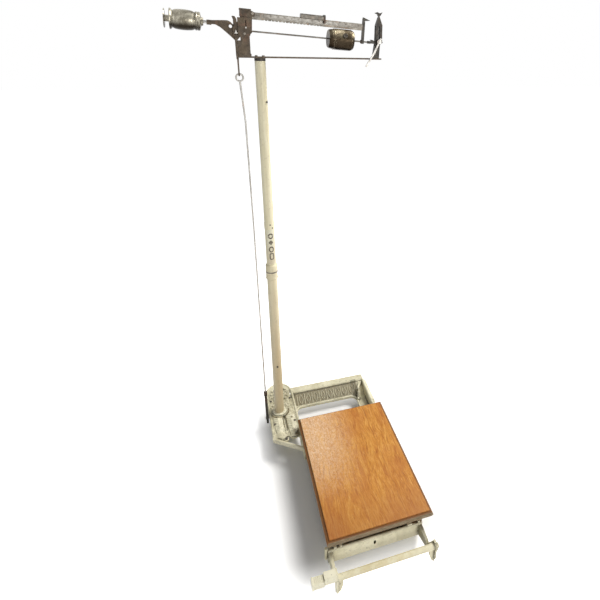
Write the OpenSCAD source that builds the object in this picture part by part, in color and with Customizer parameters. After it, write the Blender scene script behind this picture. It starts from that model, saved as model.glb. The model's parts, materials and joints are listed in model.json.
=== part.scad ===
/* [Platform] */
// Width of the platform's top face, left to right
platform_w = 300; // [270:1:380]
// Depth of the platform's top face, front to back
platform_d = 462; // [385:1:580]
// Height of the platform's top face above the floor
platform_h = 116; // [108:1:150]
// Thickness of the wooden board
board_t = 22; // [16:1:26]
// How far the edge moulding stands out round the top face
moulding_out = 8; // [4:1:12]

/* [Base frame] */
// Height of the frame's rim above the floor
frame_top = 71; // [68:1:80]
// Height of the frame's lower edge above the floor
frame_under = 28; // [24:1:30]
// Thickness of the frame's walls
wall_t = 7; // [5:1:9]
// How far the frame reaches behind the platform's top face
frame_behind = 226; // [200:1:280]
// Width of the column's bay, left of the main frame
bay_w = 96; // [90:1:120]
// How far the front arms carry the relief shaft ahead of the platform
front_reach = 65; // [55:1:80]
// Diameter of the relief shaft
shaft_d = 17; // [14:0.5:24]
// Height of the relief shaft's axis above the floor
shaft_z = 60; // [52:1:70]

/* [Column] */
// Distance of the column's axis left of the platform's top face
column_left = 61; // [56:1:64]
// Distance of the column's axis behind the platform's top face
column_behind = 109; // [95:1:125]
// Height of the carrier bar's top face above the floor
carrier_top = 1353.5; // [1100:0.5:1600]
// Diameter of the lower tube
lower_tube_d = 34; // [28:1:40]
// Diameter of the upper tube
upper_tube_d = 31; // [26:1:38]
// Height of the joint between the tubes above the floor
joint_z = 668; // [500:1:800]

/* [Beam] */
// Height of the main knife's edge above the carrier bar's top face
fulcrum_rise = 68.5; // [64:0.5:85]
// Angle by which the beam's right end hangs at rest
beam_droop = 3.5; // [2:0.1:4.5]
// Distance from the main knife to the load knife
load_arm = 25; // [22:0.5:30]
// Length of the graduated bar, measured from the main knife
bar_reach = 343; // [300:1:420]
// Height of the graduated bar's section
bar_h = 19; // [14:1:24]
// Thickness of the graduated bar
bar_t = 6; // [4:1:8]
// Diameter of the lower rod
rod_d = 4.5; // [4:0.5:6]
// Number of notches under the graduated bar
notches = 17; // [8:1:20]
// Distance between neighbouring notches
notch_pitch = 10; // [8:0.5:12]

/* [Poises] */
// Length of the cylinder poise
cylinder_l = 76; // [60:1:100]
// Radius of the cylinder poise
cylinder_r = 30; // [22:0.5:32]
// Place of the cylinder poise's left end along the beam
cylinder_at = 239; // [120:1:245]
// Length of the small upper poise
poise_l = 67; // [40:1:80]
// Place of the small upper poise's left end along the beam
poise_at = 155; // [60:1:190]

/* [Counterweight] */
// Largest radius of the counterweight's barrel
barrel_r = 27; // [20:0.5:32]
// Length of the barrel with its flanges
barrel_l = 86; // [70:1:100]
// Diameter of the counterweight's spindle
spindle_d = 8; // [6:0.5:10]
// Radius of the lock disc
disc_r = 25; // [18:0.5:30]

/* [Pull rod] */
// Diameter of the pull rod
pull_d = 5.5; // [4:0.5:8]
// Distance from the load knife down to the ring's centre
ring_drop = 129; // [115:1:150]
// Inner radius of the ring
ring_r = 7.5; // [6.5:0.5:10]

/* [Hidden] */
$fn = 48;

// Gaps: of faces that rest on each other, of a shaft in its bearing, and of parts that pass
seat = 0.3;
running = 0.08;
pass = 1.5;

// Plan places are measured from the platform's front left corner
column_x = -column_left;
column_y = platform_d + column_behind;
frame_x0 = -4;
frame_x1 = platform_w - 4;
frame_y1 = platform_d + frame_behind;
front_x1 = frame_x1 - 18;
side_x0 = frame_x0 + 8;
bay_x0 = frame_x0 - bay_w;
bay_y0 = column_y - 130;
bay_y1 = column_y - 199;
bay_r = bay_w / 2 + 1.5;
bay_x = bay_x0 + bay_r;
bay_arc_y = frame_y1 - 8;
back_end = bay_arc_y + bay_r;
corner_y = 16;
frame_runs = [
    [[frame_x0, 0], [front_x1, 0], [frame_x1, 50], [frame_x1, frame_y1], [frame_x0, frame_y1]],
    [[side_x0, bay_y1], [side_x0, corner_y]],
    [[side_x0 + wall_t, corner_y + 1], [frame_x0, corner_y + 1], [frame_x0, 0]],
    [[frame_x0 + wall_t, bay_y1], [frame_x0 + wall_t, frame_y1]]
];
bay_runs = [[bay_x0, bay_arc_y], [bay_x0, bay_y0], [frame_x0, bay_y1]];
rail_z = frame_top - 13;
flange_t = 6;
flange_top = frame_under + flange_t;
bead_d = 9;
rim_back = frame_y1 - 28;
lip_y = frame_y1 - 77;
opening_x0 = frame_x0 + wall_t + 5;
opening_x1 = frame_x1 - wall_t - 39;
opening_y0 = 60;
opening_r = 26;

// Knives in the base all have their edges at one height
knife_z = frame_under + 22;
knife_h = 10;
knife_half = 4.5;
arm_t = 10;
arm_h = 16;
arm_z0 = knife_z - 8;
cheek_in = arm_t / 2 + 2;
cheek_out = cheek_in + 5;
fulcrum_front_y = 22;
fulcrum_rear_y = platform_d - 22;
knife_gap = 50;
front_xs = [29, platform_w - 61];
rear_xs = [62, platform_w - 61];
elbow = [front_xs[0], platform_d - 62];
nose_root_x = frame_x0 - 68;
nose_x = bay_x0 - 7;
link_y = (fulcrum_front_y + fulcrum_rear_y) / 2;
link_share = (link_y - fulcrum_front_y) / (elbow.y - fulcrum_front_y);
link_x = front_xs[1] + (elbow.x - front_xs[1]) * link_share;
short_drop = 12;
nose_drop = short_drop + 11;
rear_load_z = knife_z - nose_drop * knife_gap / (fulcrum_rear_y - link_y);

// Foot plate and socket
plate_z = frame_top - 5;
plate_t = 6;
mound_top = plate_z + plate_t + 3;
socket_top = mound_top + 5;
socket_r = lower_tube_d / 2 + 9;
tube_foot_z = plate_z + plate_t;

// Column joint and head
sleeve_d = max(lower_tube_d, upper_tube_d) + 5;
carrier_t = 4;
carrier_z = carrier_top - carrier_t;
cap_h = 8;
fulcrum_x = column_x - 37;
fulcrum_z = carrier_top + fulcrum_rise;
stand_x0 = fulcrum_x - 21.5;
stand_x1 = fulcrum_x + 11;
web_t = 12;
cheek_y0 = web_t / 2 + 2;
cheek_y1 = cheek_y0 + 6;
guide_x0 = fulcrum_x + bar_reach + 43;
guide_x1 = guide_x0 + 21;
guide_gap = 4;
guide_t = 4;
guide_h = fulcrum_rise + 53;

// Places along the beam, from the main knife
bar_bottom = cylinder_r + pass;
bar_top = bar_bottom + bar_h;
head_z0 = bar_bottom + 5.5;
head_z1 = bar_top + 7;
post_x0 = bar_reach;
post_x1 = post_x0 + 7;
tip_reach = post_x1 + 61;
balance_z = 13;
stub_x = -101;
barrel_x1 = stub_x - 9;
barrel_x0 = barrel_x1 - barrel_l;
disc_hub_l = 11;
disc_t = 3.5;
disc_x0 = barrel_x0 - seat - disc_hub_l - disc_t;

// Load knife and the line of the pull rod
load_x = fulcrum_x - load_arm * cos(beam_droop);
load_z = fulcrum_z + load_arm * sin(beam_droop);
link_lean = atan2(nose_x - load_x, load_z - knife_z);
link_l = norm([nose_x - load_x, load_z - knife_z]);
stirrup_l = 126;
ring_wire = 5;
ring_mid = ring_r + ring_wire / 2;

// The origin is on the floor, under the middle of the whole scale's outline
left_end = fulcrum_x + disc_x0 * cos(beam_droop) + (balance_z - 8) * sin(beam_droop);
foot_out = 21;
right_end = max(fulcrum_x + tip_reach * cos(beam_droop) + 5 * sin(beam_droop), frame_x1 + foot_out);
ear_r = 13;
front_end = -front_reach - ear_r;
centre_x = (left_end + right_end) / 2;
centre_y = (front_end + back_end) / 2;

cream = "#d9d0b0";
iron = "#4a423a";
dark = "#2b2622";
brass = "#8a7440";
nickel = "#9a9684";
steel = "#8c8c88";

// Helpers
module placed() {
    translate([-centre_x, -centre_y, 0]) children();
}

module block(x0, x1, y0, y1, z0, z1) {
    translate([x0, y0, z0]) cube([x1 - x0, y1 - y0, z1 - z0]);
}

module rod_x(x0, x1, y, z, d) {
    translate([x0, y, z]) rotate([0, 90, 0]) cylinder(d = d, h = x1 - x0);
}

module rod_y(x, y0, y1, z, d) {
    translate([x, y1, z]) rotate([90, 0, 0]) cylinder(d = d, h = y1 - y0);
}

module rod_z(x, y, z0, z1, d) {
    translate([x, y, z0]) cylinder(d = d, h = z1 - z0);
}

// An outline in the XZ plane, made solid from y0 to y1
module slab_y(y0, y1) {
    translate([0, y1, 0]) rotate([90, 0, 0]) linear_extrude(y1 - y0) children();
}

// An outline in the YZ plane, made solid from x0 to x1
module slab_x(x0, x1) {
    translate([x0, 0, 0]) rotate([90, 0, 90]) linear_extrude(x1 - x0) children();
}

// In plan: a strip of thickness t on the left of the line from a to b
module strip(a, b, t) {
    translate(a) rotate(atan2(b.y - a.y, b.x - a.x)) square([norm(b - a), t]);
}

// In plan: a strip with the line from a to b along its middle
module bar(a, b, t) {
    translate(a) rotate(atan2(b.y - a.y, b.x - a.x)) translate([0, -t / 2]) square([norm(b - a), t]);
}

module rounded_rect(x0, x1, y0, y1, r) {
    translate([x0 + r, y0]) square([x1 - x0 - 2 * r, y1 - y0]);
    translate([x0, y0 + r]) square([x1 - x0, y1 - y0 - 2 * r]);
    for (x = [x0 + r, x1 - r], y = [y0 + r, y1 - r]) translate([x, y]) circle(r = r);
}

// A prism along X whose edge points down at z, or up with rise = -1
module knife_x(x0, x1, y, z, rise = 1) {
    slab_x(x0, x1)
        translate([y, z])
            polygon([[0, 0], [knife_half, rise * knife_h], [-knife_half, rise * knife_h]]);
}

module cheese_head(d, h) {
    difference() {
        cylinder(d = d, h = h, $fn = 24);
        translate([-d, -d * 0.09, h * 0.55]) cube([2 * d, d * 0.18, h]);
    }
}

// Carries a shape from the beam's own frame to its place
module on_beam() {
    translate([fulcrum_x, column_y, fulcrum_z]) rotate([0, beam_droop, 0]) children();
}

// Carries a shape that hangs down from the load knife along the pull rod's line
module on_link() {
    translate([load_x, column_y, load_z]) rotate([0, -link_lean, 0]) children();
}

// Base frame
module frame_walls() {
    translate([0, 0, frame_under]) linear_extrude(frame_top - frame_under) {
        for (run = frame_runs, i = [1:len(run) - 1]) strip(run[i - 1], run[i], wall_t);
        translate([frame_x0, bay_y1 - wall_t]) square([side_x0 + wall_t - frame_x0, wall_t]);
    }
    translate([0, 0, rail_z]) linear_extrude(frame_top - rail_z) {
        for (i = [1:2]) strip(bay_runs[i - 1], bay_runs[i], wall_t);
        intersection() {
            translate([bay_x, bay_arc_y]) difference() {
                circle(r = bay_r, $fn = 72);
                circle(r = bay_r - wall_t, $fn = 72);
            }
            translate([bay_x0 - 1, bay_arc_y - 1]) square([2 * bay_r + 2, bay_r + 10]);
        }
    }
}

module frame_beads() {
    bead_z = frame_top - 1;
    mid = wall_t / 2;
    rod_x(frame_x0, front_x1, mid, bead_z, bead_d);
    rod_y(side_x0 + mid, corner_y + 1 - mid, bay_y1 - mid, bead_z, bead_d - 0.4);
    rod_y(frame_x0 + mid, 0, corner_y + 1 - mid, bead_z, bead_d - 0.8);
    rod_x(frame_x0 + mid, side_x0 + mid, corner_y + 1 - mid, bead_z, bead_d - 1.2);
    rod_x(frame_x0 + mid, side_x0 + mid, bay_y1 - mid, bead_z, bead_d - 1.2);
    rod_y(frame_x1 - mid, 50, frame_y1, bead_z, bead_d);
    rod_y(bay_x0 + mid, bay_y0, bay_arc_y, bead_z, bead_d);
    translate([bay_x, bay_arc_y, bead_z]) rotate_extrude(angle = 180, $fn = 72)
        translate([bay_r - mid, 0]) circle(d = bead_d, $fn = 24);
    rod_y(frame_x0 + mid, bay_y1 - mid, frame_y1, bead_z, bead_d);
    translate([bay_x0, bay_y0, bead_z] + mid * [inward.x, inward.y, 0])
        rotate([0, 90, atan2(diagonal.y, diagonal.x)])
            cylinder(d = bead_d - 0.6, h = norm([frame_x0 - bay_x0, bay_y1 - bay_y0]));
    rod_z(bay_x0 + mid, bay_y0 + 2, bead_z - 5, bead_z + bead_d / 2 + 0.4, bead_d + 1.5);
}

module frame_flange() {
    translate([0, 0, frame_under])
        linear_extrude(flange_t)
            difference() {
                polygon([
                    [side_x0, 0], [front_x1, 0], [frame_x1, 50], [frame_x1, lip_y + 8], [frame_x0, lip_y + 8],
                    [frame_x0, bay_y1 - wall_t], [side_x0, bay_y1 - wall_t]
                ]);
                rounded_rect(opening_x0, opening_x1, opening_y0, lip_y, opening_r);
            }
    translate([0, 0, flange_top - 1])
        linear_extrude(5)
            difference() {
                rounded_rect(opening_x0 - 5.5, opening_x1 + 5, opening_y0 - 5, lip_y + 5, opening_r + 5);
                rounded_rect(opening_x0, opening_x1, opening_y0, lip_y, opening_r);
                translate([opening_x0 - 10, fulcrum_rear_y - knife_gap - 10])
                    square([opening_x1 - opening_x0 + 20, knife_gap + 25]);
            }
    block(frame_x0, frame_x1, fulcrum_rear_y - 13, fulcrum_rear_y + 13, frame_under, flange_top);
}

// The sloping panel under the rear rim
module rear_panel() {
    slab_x(frame_x0, frame_x1 - 1)
        polygon([
            [lip_y, frame_under], [lip_y, flange_top], [rim_back, frame_top - 6],
            [frame_y1, frame_top - 6], [frame_y1, frame_under], [frame_y1 - wall_t, frame_under],
            [frame_y1 - wall_t, frame_top - 13], [rim_back + 2, frame_top - 13], [lip_y + 9, frame_under]
        ]);
}

module rear_rim() {
    block(frame_x0, frame_x1, rim_back, frame_y1, frame_top - 7, frame_top + 3);
    rod_x(frame_x0, frame_x1, rim_back + 2, frame_top - 2, 9);
}

// Ribs from the opening's corner and from the rear corner up to the rim
module corner_brace() {
    translate([0, 0, flange_top - 1])
        linear_extrude(frame_top - flange_top - 4)
            polygon([
                [frame_x1 - wall_t - 34, lip_y + 4], [frame_x1 - wall_t - 26, lip_y + 4],
                [frame_x1 - 3, rim_back + 4], [frame_x1 - 11, rim_back + 4]
            ]);
    rib_l = norm([22, rim_back - lip_y + 30]);
    translate([opening_x1 + 5, lip_y - 28, 0])
        rotate(atan2(rim_back - lip_y + 30, 22))
            slab_y(-3.5, 3.5)
                polygon([
                    [0, flange_top - 2], [0, flange_top + 8], [rib_l, frame_top - 2], [rib_l, flange_top - 2]
                ]);
}

// Cast lugs on the front rim, under the platform's edge, and the rounded lug at its left corner
module front_lugs() {
    block(12.5, 20.5, 2, 9.5, frame_top - 12, frame_top + 9);
    rod_z(33, 6, frame_top - 12, frame_top + 8, 9);
    block(platform_w - 68, platform_w - 53, 2, 10, frame_top - 12, frame_top + 8);
    rod_z(platform_w - 31, 6, frame_top - 12, frame_top + 10, 8);
    rod_z(frame_x0 - 5, 5, frame_top - 27, frame_top + 11, 9);
    block(frame_x0 - 5, frame_x0 + 2, 2.5, 7.5, frame_top - 26, frame_top - 4);
}

// The arms that carry the relief shaft ahead of the frame
arm_w = 8;
left_bearing = [-30, 7];
right_bearing = [frame_x1 - 9, frame_x1 - 3];

module front_arm(x0, reach) {
    slab_x(x0, x0 + arm_w)
        polygon([
            [wall_t, frame_top], [wall_t, frame_under], [2, frame_under],
            [reach, shaft_z - 13], [reach, shaft_z + 2], [reach + 8, shaft_z + 8]
        ]);
}

// A bearing's foot: a thin leg with a curved web beside it
module bearing_foot(x, side) {
    slab_x(x, x + 5)
        polygon([
            [-front_reach - 8, shaft_z - 3], [-front_reach + 10, shaft_z - 3], [-front_reach + 13, 20],
            [-front_reach + 11, 0], [-front_reach + 2, 0], [-front_reach - 6, 14]
        ]);
    slab_y(-front_reach - 3, -front_reach + 5)
        polygon([
            [x + 2.5, 1.5], [x + 2.5, shaft_z - 3], [x + 2.5 + side * 17, shaft_z - 8],
            [x + 2.5 + side * 16, 30], [x + 2.5 + side * 11, 13]
        ]);
}

module left_bearing_block() {
    slab_x(left_bearing[0], left_bearing[1])
        translate([-front_reach, shaft_z]) {
            circle(r = 7.5);
            translate([-7, 0]) square([21, 19]);
            translate([0, -7]) square([14, 20]);
        }
}

module right_bearing_plate() {
    slab_x(right_bearing[0], right_bearing[1])
        translate([-front_reach, shaft_z]) {
            circle(r = ear_r - 0.5);
            translate([-3, 5]) square([11, 10.5]);
            translate([0, -13]) square([17, 11]);
        }
    block(
        front_x1 - 10, right_bearing[0] + 2, -front_reach + 11, -front_reach + 16.5,
        shaft_z - 12.5, shaft_z - 2.5
    );
}

module front_arms() {
    front_arm(frame_x0 + 2, -front_reach + 6);
    front_arm(front_x1 - 10, -front_reach + 11);
    left_bearing_block();
    right_bearing_plate();
    bearing_foot(frame_x0 + 6, 1);
    bearing_foot(right_bearing[0] + 0.5, -1);
}

module rear_foot_right() {
    slab_y(frame_y1 - 126, frame_y1 - 1)
        polygon([
            [frame_x1 - wall_t, frame_top - 10], [frame_x1, frame_top - 10],
            [frame_x1 + foot_out, frame_under + 10], [frame_x1 + foot_out, 0], [frame_x1 - wall_t, 0]
        ]);
}

module rear_foot_left() {
    slab_y(bay_arc_y - 48, bay_arc_y)
        polygon([
            [bay_x0, rail_z + 3], [bay_x0 + 14, rail_z + 3],
            [bay_x0 + 14, 0], [bay_x0, 0]
        ]);
}

module base_frame() {
    placed() color(cream) difference() {
        union() {
            difference() {
                union() {
                    frame_walls();
                    frame_beads();
                    frame_flange();
                    rear_panel();
                    corner_brace();
                    bay_ledges();
                }
                lever_windows();
            }
            rear_rim();
            front_arms();
            front_lugs();
            rear_foot_right();
            rear_foot_left();
        }
        rod_x(-60, frame_x1 + 20, -front_reach, shaft_z, journal_d + 2 * running);
        rod_x(left_bearing[1], right_bearing[0], -front_reach, shaft_z, shaft_d + 2);
        slab_y(-5, 20)
            translate([platform_w * 0.44, frame_top - 17])
                rounded_rect(-3.6, 3.6, -7, 7, 3.5);
        for (p = plate_screw_places) rod_z(p.x, p.y, plate_z - 8, plate_z + 1, 4.2);
    }
}

// The plate's screws go down into ledges round the bay's inner side
plate_screw_places = [
    [bay_x0 + wall_t + 7, column_y + 62], [frame_x0 - 9, column_y + 62],
    [bay_x0 + wall_t + 7, column_y - 62], [frame_x0 - 9, column_y - 62]
];

module bay_ledges() {
    ledge_w = 11;
    block(bay_x0, bay_x0 + wall_t + ledge_w, bay_y0 + 6, column_y - 22, plate_z - 6, plate_z);
    block(bay_x0, bay_x0 + wall_t + ledge_w, column_y + 22, bay_arc_y, plate_z - 6, plate_z);
    block(frame_x0 - 14, frame_x0 + wall_t, bay_y0, bay_arc_y - 20, plate_z - 6, plate_z);
}

// The long lever's arm goes out to the bay, and its nose knife out through the left wall
nose_root = [nose_root_x + 6, column_y];
crossing_y = elbow.y + (elbow.x - frame_x0 - wall_t / 2) / (elbow.x - nose_root.x) * (column_y - elbow.y);

module lever_windows() {
    block(frame_x0 - 8, frame_x0 + wall_t + 1, crossing_y - 30, crossing_y + 30, flange_top, plate_z - 4);
    block(bay_x0 - 1, bay_x0 + wall_t + 1, column_y - 14, column_y + 14, flange_top, plate_z - 4);
}

// Foot plate: one casting with a shell mound, socket collar and two-lobed tongue
plate_x0 = bay_x0 + (wall_t + bead_d) / 2 + seat;
plate_x1 = frame_x0 + (wall_t - bead_d) / 2 - seat;
plate_arc_r = bay_r - (wall_t + bead_d) / 2 - seat;

diagonal = [frame_x0 - bay_x0, bay_y1 - bay_y0] / norm([frame_x0 - bay_x0, bay_y1 - bay_y0]);
inward = [-diagonal.y, diagonal.x];
plate_corner = [bay_x0, bay_y0] + inward * ((wall_t + bead_d) / 2 + seat);

module plate_outline() {
    intersection() {
        union() {
            translate([bay_x, bay_arc_y]) circle(r = plate_arc_r, $fn = 72);
            translate([plate_x0, column_y - 26]) square([2 * plate_arc_r, bay_arc_y - column_y + 26]);
            translate([plate_x0, column_y - 26])
                square([plate_x1 - plate_x0, bay_arc_y - bay_r - column_y + 26]);
            tongue_outline();
        }
        polygon([
            plate_corner - 30 * diagonal, plate_corner + 150 * diagonal,
            [plate_x1 + 60, back_end], [plate_x0 - 30, back_end]
        ]);
    }
}

lobe_w = (plate_x1 - plate_x0 - 7) / 2;
lobe_x = [plate_x0 + lobe_w / 2, plate_x1 - lobe_w / 2];
tongue_y = bay_y0 + 9;
eye = [(lobe_x[0] + lobe_x[1]) / 2 - 6, bay_y0 - 10];

module tongue_outline() {
    for (i = [0, 1]) {
        translate([lobe_x[i] - lobe_w / 2, tongue_y]) square([lobe_w, column_y - 20 - tongue_y]);
        translate([lobe_x[i], tongue_y]) circle(r = lobe_w / 2);
    }
    translate([lobe_x[0], tongue_y - 6]) square([lobe_x[1] - lobe_x[0], 24]);
    translate(eye) circle(r = 8);
}

// A pillow along Y over each lobe
module lobe_pillow(x) {
    arch_r = lobe_w * 0.78;
    intersection() {
        rod_y(x, tongue_y - lobe_w / 2, column_y - 24, plate_z + plate_t + 4 - arch_r, 2 * arch_r);
        translate([0, 0, plate_z + 1])
            linear_extrude(plate_t + 8)
                intersection() {
                    union() {
                        translate([x - lobe_w / 2 + 1.5, tongue_y])
                            square([lobe_w - 3, column_y - 24 - tongue_y]);
                        translate([x, tongue_y]) circle(r = lobe_w / 2 - 2);
                    }
                    translate(inward * 3) plate_outline();
                }
    }
}

// Thin floor of the groove between the lobes
module groove_floor() {
    translate([0, 0, plate_z + 1])
        linear_extrude(plate_t - 4)
            translate([lobe_x[0], tongue_y + 12])
                square([lobe_x[1] - lobe_x[0], column_y - 22 - tongue_y - 12]);
}

// An open scroll: part of a ring lying on the plate
module scroll(x, y, r, a0, sweep, d, z) {
    translate([x, y, z]) rotate(a0) rotate_extrude(angle = sweep) translate([r, 0]) circle(d = d, $fn = 24);
    for (a = [a0, a0 + sweep]) translate([x + r * cos(a), y + r * sin(a), z]) sphere(d = d * 1.5, $fn = 24);
}

module shell_mound() {
    top = plate_z + plate_t;
    translate([column_x, column_y, 0])
        rotate_extrude($fn = 72)
            polygon([
                [0, top - 2], [44, top - 2], [44, top + 0.6], [41, top + 1.8], [36, top + 2.2],
                [32, mound_top], [0, mound_top]
            ]);
    for (a = [20:20:160])
        translate([column_x, column_y, top - 0.2])
            rotate([0, 0, a + 0.7])
                translate([39.3, 0, 0]) sphere(d = 11, $fn = 24);
    translate([column_x, column_y, 0])
        rotate_extrude($fn = 72)
            polygon([
                [0, mound_top - 1], [socket_r, mound_top - 1], [socket_r, socket_top - 1.6],
                [socket_r - 1.6, socket_top], [0, socket_top]
            ]);
}

module foot_plate() {
    top = plate_z + plate_t;
    placed() color(cream) difference() {
        union() {
            translate([0, 0, plate_z]) linear_extrude(plate_t) plate_outline();
            lobe_pillow(lobe_x[0]);
            lobe_pillow(lobe_x[1]);
            groove_floor();
            intersection() {
                shell_mound();
                translate([0, 0, plate_z]) linear_extrude(60) plate_outline();
            }
            for (side = [-1, 1]) {
                scroll(bay_x + side * 23, column_y + 74, 9, 90 - side * 60, side * 230, 6, top);
                scroll(bay_x + side * 24, column_y + 98, 7, 270 - side * 60, -side * 220, 5, top);
            }
            scroll(bay_x, bay_arc_y - 2, 27, 25, 130, 7, top + 1);
            scroll(bay_x, bay_arc_y - 2, 15, 20, 140, 6, top);
        }
        rod_z(column_x, column_y, tube_foot_z, socket_top + 1, lower_tube_d + 2 * running);
        for (p = plate_screw_places) {
            rod_z(p.x, p.y, plate_z - 1, plate_z + plate_t + 1, 5);
            rod_z(p.x, p.y, plate_z + plate_t, plate_z + plate_t + 14, 9.5);
        }
        rod_z(eye.x, eye.y, plate_z - 1, plate_z + plate_t + 1, 5);
        rod_z(eye.x, eye.y, plate_z + plate_t, plate_z + plate_t + 14, 10.5);
    }
}

module foot_plate_screws() {
    placed() color(dark) {
        for (p = plate_screw_places) {
            rod_z(p.x, p.y, plate_z - 6, plate_z + plate_t + seat, 4);
            translate([p.x, p.y, plate_z + plate_t + seat]) cheese_head(8, 3);
        }
        translate([eye.x, eye.y, 0]) {
            translate([0, 0, plate_z - 2]) cylinder(d = 4.6, h = plate_t + 2 + seat, $fn = 24);
            translate([0, 0, plate_z + plate_t + seat]) cheese_head(9, 3.5);
        }
    }
}

// Bearings of the two levers: U-shaped stands with V notches
module notched_cheek(x0, x1, y, z0) {
    slab_x(x0, x1)
        translate([y, 0])
            polygon([
                [-8, z0], [8, z0], [8, knife_z + 10], [6.2, knife_z + 10],
                [0, knife_z - seat], [-6.2, knife_z + 10], [-8, knife_z + 10]
            ]);
}

module bearing_stand(x, y) {
    for (side = [-1, 1]) {
        inner = x + side * cheek_in;
        outer = x + side * cheek_out;
        notched_cheek(min(inner, outer), max(inner, outer), y, flange_top + 2);
    }
    block(x - cheek_out - 4, x + cheek_out + 4, y - 11, y + 11, flange_top, flange_top + 4);
}

module lever_bearing_stands() {
    placed() color(iron) {
        for (x = front_xs) bearing_stand(x, fulcrum_front_y);
        for (x = rear_xs) bearing_stand(x, fulcrum_rear_y);
    }
}

// Relief shaft across the front, turned by the pedal on its left end
journal_d = 10;
pedal_x0 = -60;
pedal_x1 = left_bearing[0] - 1;

module relief_shaft() {
    placed() color(cream) {
        rod_x(left_bearing[1] + seat, right_bearing[0] - seat, -front_reach, shaft_z, shaft_d);
        rod_x(pedal_x1 - 10, frame_x1 + 1, -front_reach, shaft_z, journal_d);
    }
}

module relief_pedal() {
    placed() color(cream) difference() {
        union() {
            slab_x(pedal_x0, pedal_x1) pedal_outline(0);
            slab_x(pedal_x0 - 3, pedal_x0 + 1) pedal_outline(1.2);
            for (i = [0:4])
                block(
                    pedal_x0 + 5.5 + i * 4.6, pedal_x0 + 7.5 + i * 4.6,
                    -front_reach - 5, -front_reach + 11, shaft_z + 12, shaft_z + 14
                );
        }
        rod_x(pedal_x1 - 10 - seat, pedal_x1 + 1, -front_reach, shaft_z, journal_d + 2 * running);
    }
}

module pedal_outline(grow) {
    translate([-front_reach, shaft_z]) {
        circle(r = 10 + grow);
        translate([0, -6 - grow]) square([13 + grow, 14 + grow]);
        translate([-9 - grow, 0]) square([22 + 2 * grow, 13 + grow]);
    }
}

module shaft_end_nut() {
    placed() color(cream) translate([frame_x1 - 3 + seat, -front_reach, shaft_z]) rotate([0, 90, 0])
        difference() {
            intersection() {
                cylinder(d = 17, h = 6, $fn = 6);
                cylinder(d1 = 18, d2 = 13, h = 6, $fn = 48);
            }
            translate([0, 0, -1]) cylinder(d = journal_d + 2 * running, h = 5);
        }
}

// Column
module lower_tube() {
    placed() color(cream) translate([column_x, column_y, 0]) difference() {
        translate([0, 0, tube_foot_z]) cylinder(d = lower_tube_d, h = joint_z - tube_foot_z);
        translate([0, 0, joint_z - 40]) cylinder(d = upper_tube_d - 6, h = 60);
        column_screw_bore(0);
    }
}

module upper_tube() {
    placed() color(cream) translate([column_x, column_y, joint_z + seat]) difference() {
        cylinder(d = upper_tube_d, h = carrier_z - cap_h - joint_z - 2 * seat);
        translate([0, 0, -1]) cylinder(d = upper_tube_d - 6, h = 60);
        translate([0, 0, -joint_z - seat]) column_screw_bore(1);
    }
}

module joint_sleeve() {
    low = -28;
    high = 24;
    r = sleeve_d / 2;
    placed() color(cream) translate([column_x, column_y, joint_z]) difference() {
        rotate_extrude()
            polygon([
                [0, low], [r, low], [r + 1, low + 1], [r + 1, low + 3], [r, low + 4], [r, -4], [r - 1.2, -4],
                [r - 1.2, 0], [r, 0], [r, high - 2], [upper_tube_d / 2 + 0.6, high], [0, high]
            ]);
        translate([0, 0, low - 1]) cylinder(d = lower_tube_d + 2 * running, h = 1 - low);
        translate([0, 0, -0.5]) cylinder(d = upper_tube_d + 2 * running, h = high + 1);
    }
}

module joint_ring() {
    placed() color(dark) translate([column_x, column_y, joint_z - 4 + running]) difference() {
        cylinder(d = sleeve_d + 1.5, h = 4 - 2 * running);
        translate([0, 0, -1]) cylinder(d = sleeve_d - 2.4 + 2 * running, h = 6);
    }
}

module column_band() {
    placed() color(cream) translate([column_x, column_y, joint_z + 153]) difference() {
        cylinder(d = upper_tube_d + 1.6, h = 20);
        translate([0, 0, -1]) cylinder(d = upper_tube_d + 2 * running, h = 22);
    }
}

// One screw in each tube: its height, turn round the tube and the tube's radius
screw_seats = [[289, 0, lower_tube_d / 2], [carrier_top - 128.5, 47, upper_tube_d / 2]];

module column_screw_bore(i) {
    translate([0, 0, screw_seats[i][0]])
        rotate(screw_seats[i][1])
            rotate([90, 0, 0]) cylinder(d = 5 + 2 * running, h = 40);
}

module column_screws() {
    placed() color(dark) translate([column_x, column_y, 0])
        for (s = screw_seats)
            translate([0, 0, s[0]]) rotate(s[1]) translate([0, -s[2], 0]) rotate([90, 0, 0]) {
                translate([0, 0, -8]) cylinder(d = 5, h = 8.3);
                translate([0, 0, 0.3]) cheese_head(7, 2.2);
            }
}

module column_cap() {
    placed() color(dark) translate([column_x, column_y, carrier_z]) difference() {
        rotate_extrude()
            polygon([
                [0, -cap_h], [upper_tube_d / 2 + 0.4, -cap_h], [upper_tube_d / 2 + 0.4, -1.5],
                [upper_tube_d / 2 + 1, -1], [upper_tube_d / 2 + 1, 0], [0, 0]
            ]);
        for (x = [-10, 10]) translate([x, 0, -6]) cylinder(d = 4.4, h = 7);
    }
}

// Head
carrier_x0 = stand_x0;
carrier_x1 = guide_x1 - 3;
carrier_half = 14;

module carrier_bar() {
    placed() color(iron) difference() {
        block(
            carrier_x0, carrier_x1, column_y - carrier_half, column_y + carrier_half,
            carrier_z, carrier_top
        );
        for (x = [-10, 10]) rod_z(column_x + x, column_y, carrier_z - 1, carrier_top + 1, 4.6);
    }
}

module carrier_screws() {
    placed() color(dark) for (x = [-10, 10]) translate([column_x + x, column_y, 0]) {
        translate([0, 0, carrier_z - 5]) cylinder(d = 4, h = carrier_t + 5 + seat, $fn = 24);
        translate([0, 0, carrier_top + seat]) cheese_head(7.5, 3);
    }
}

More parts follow.
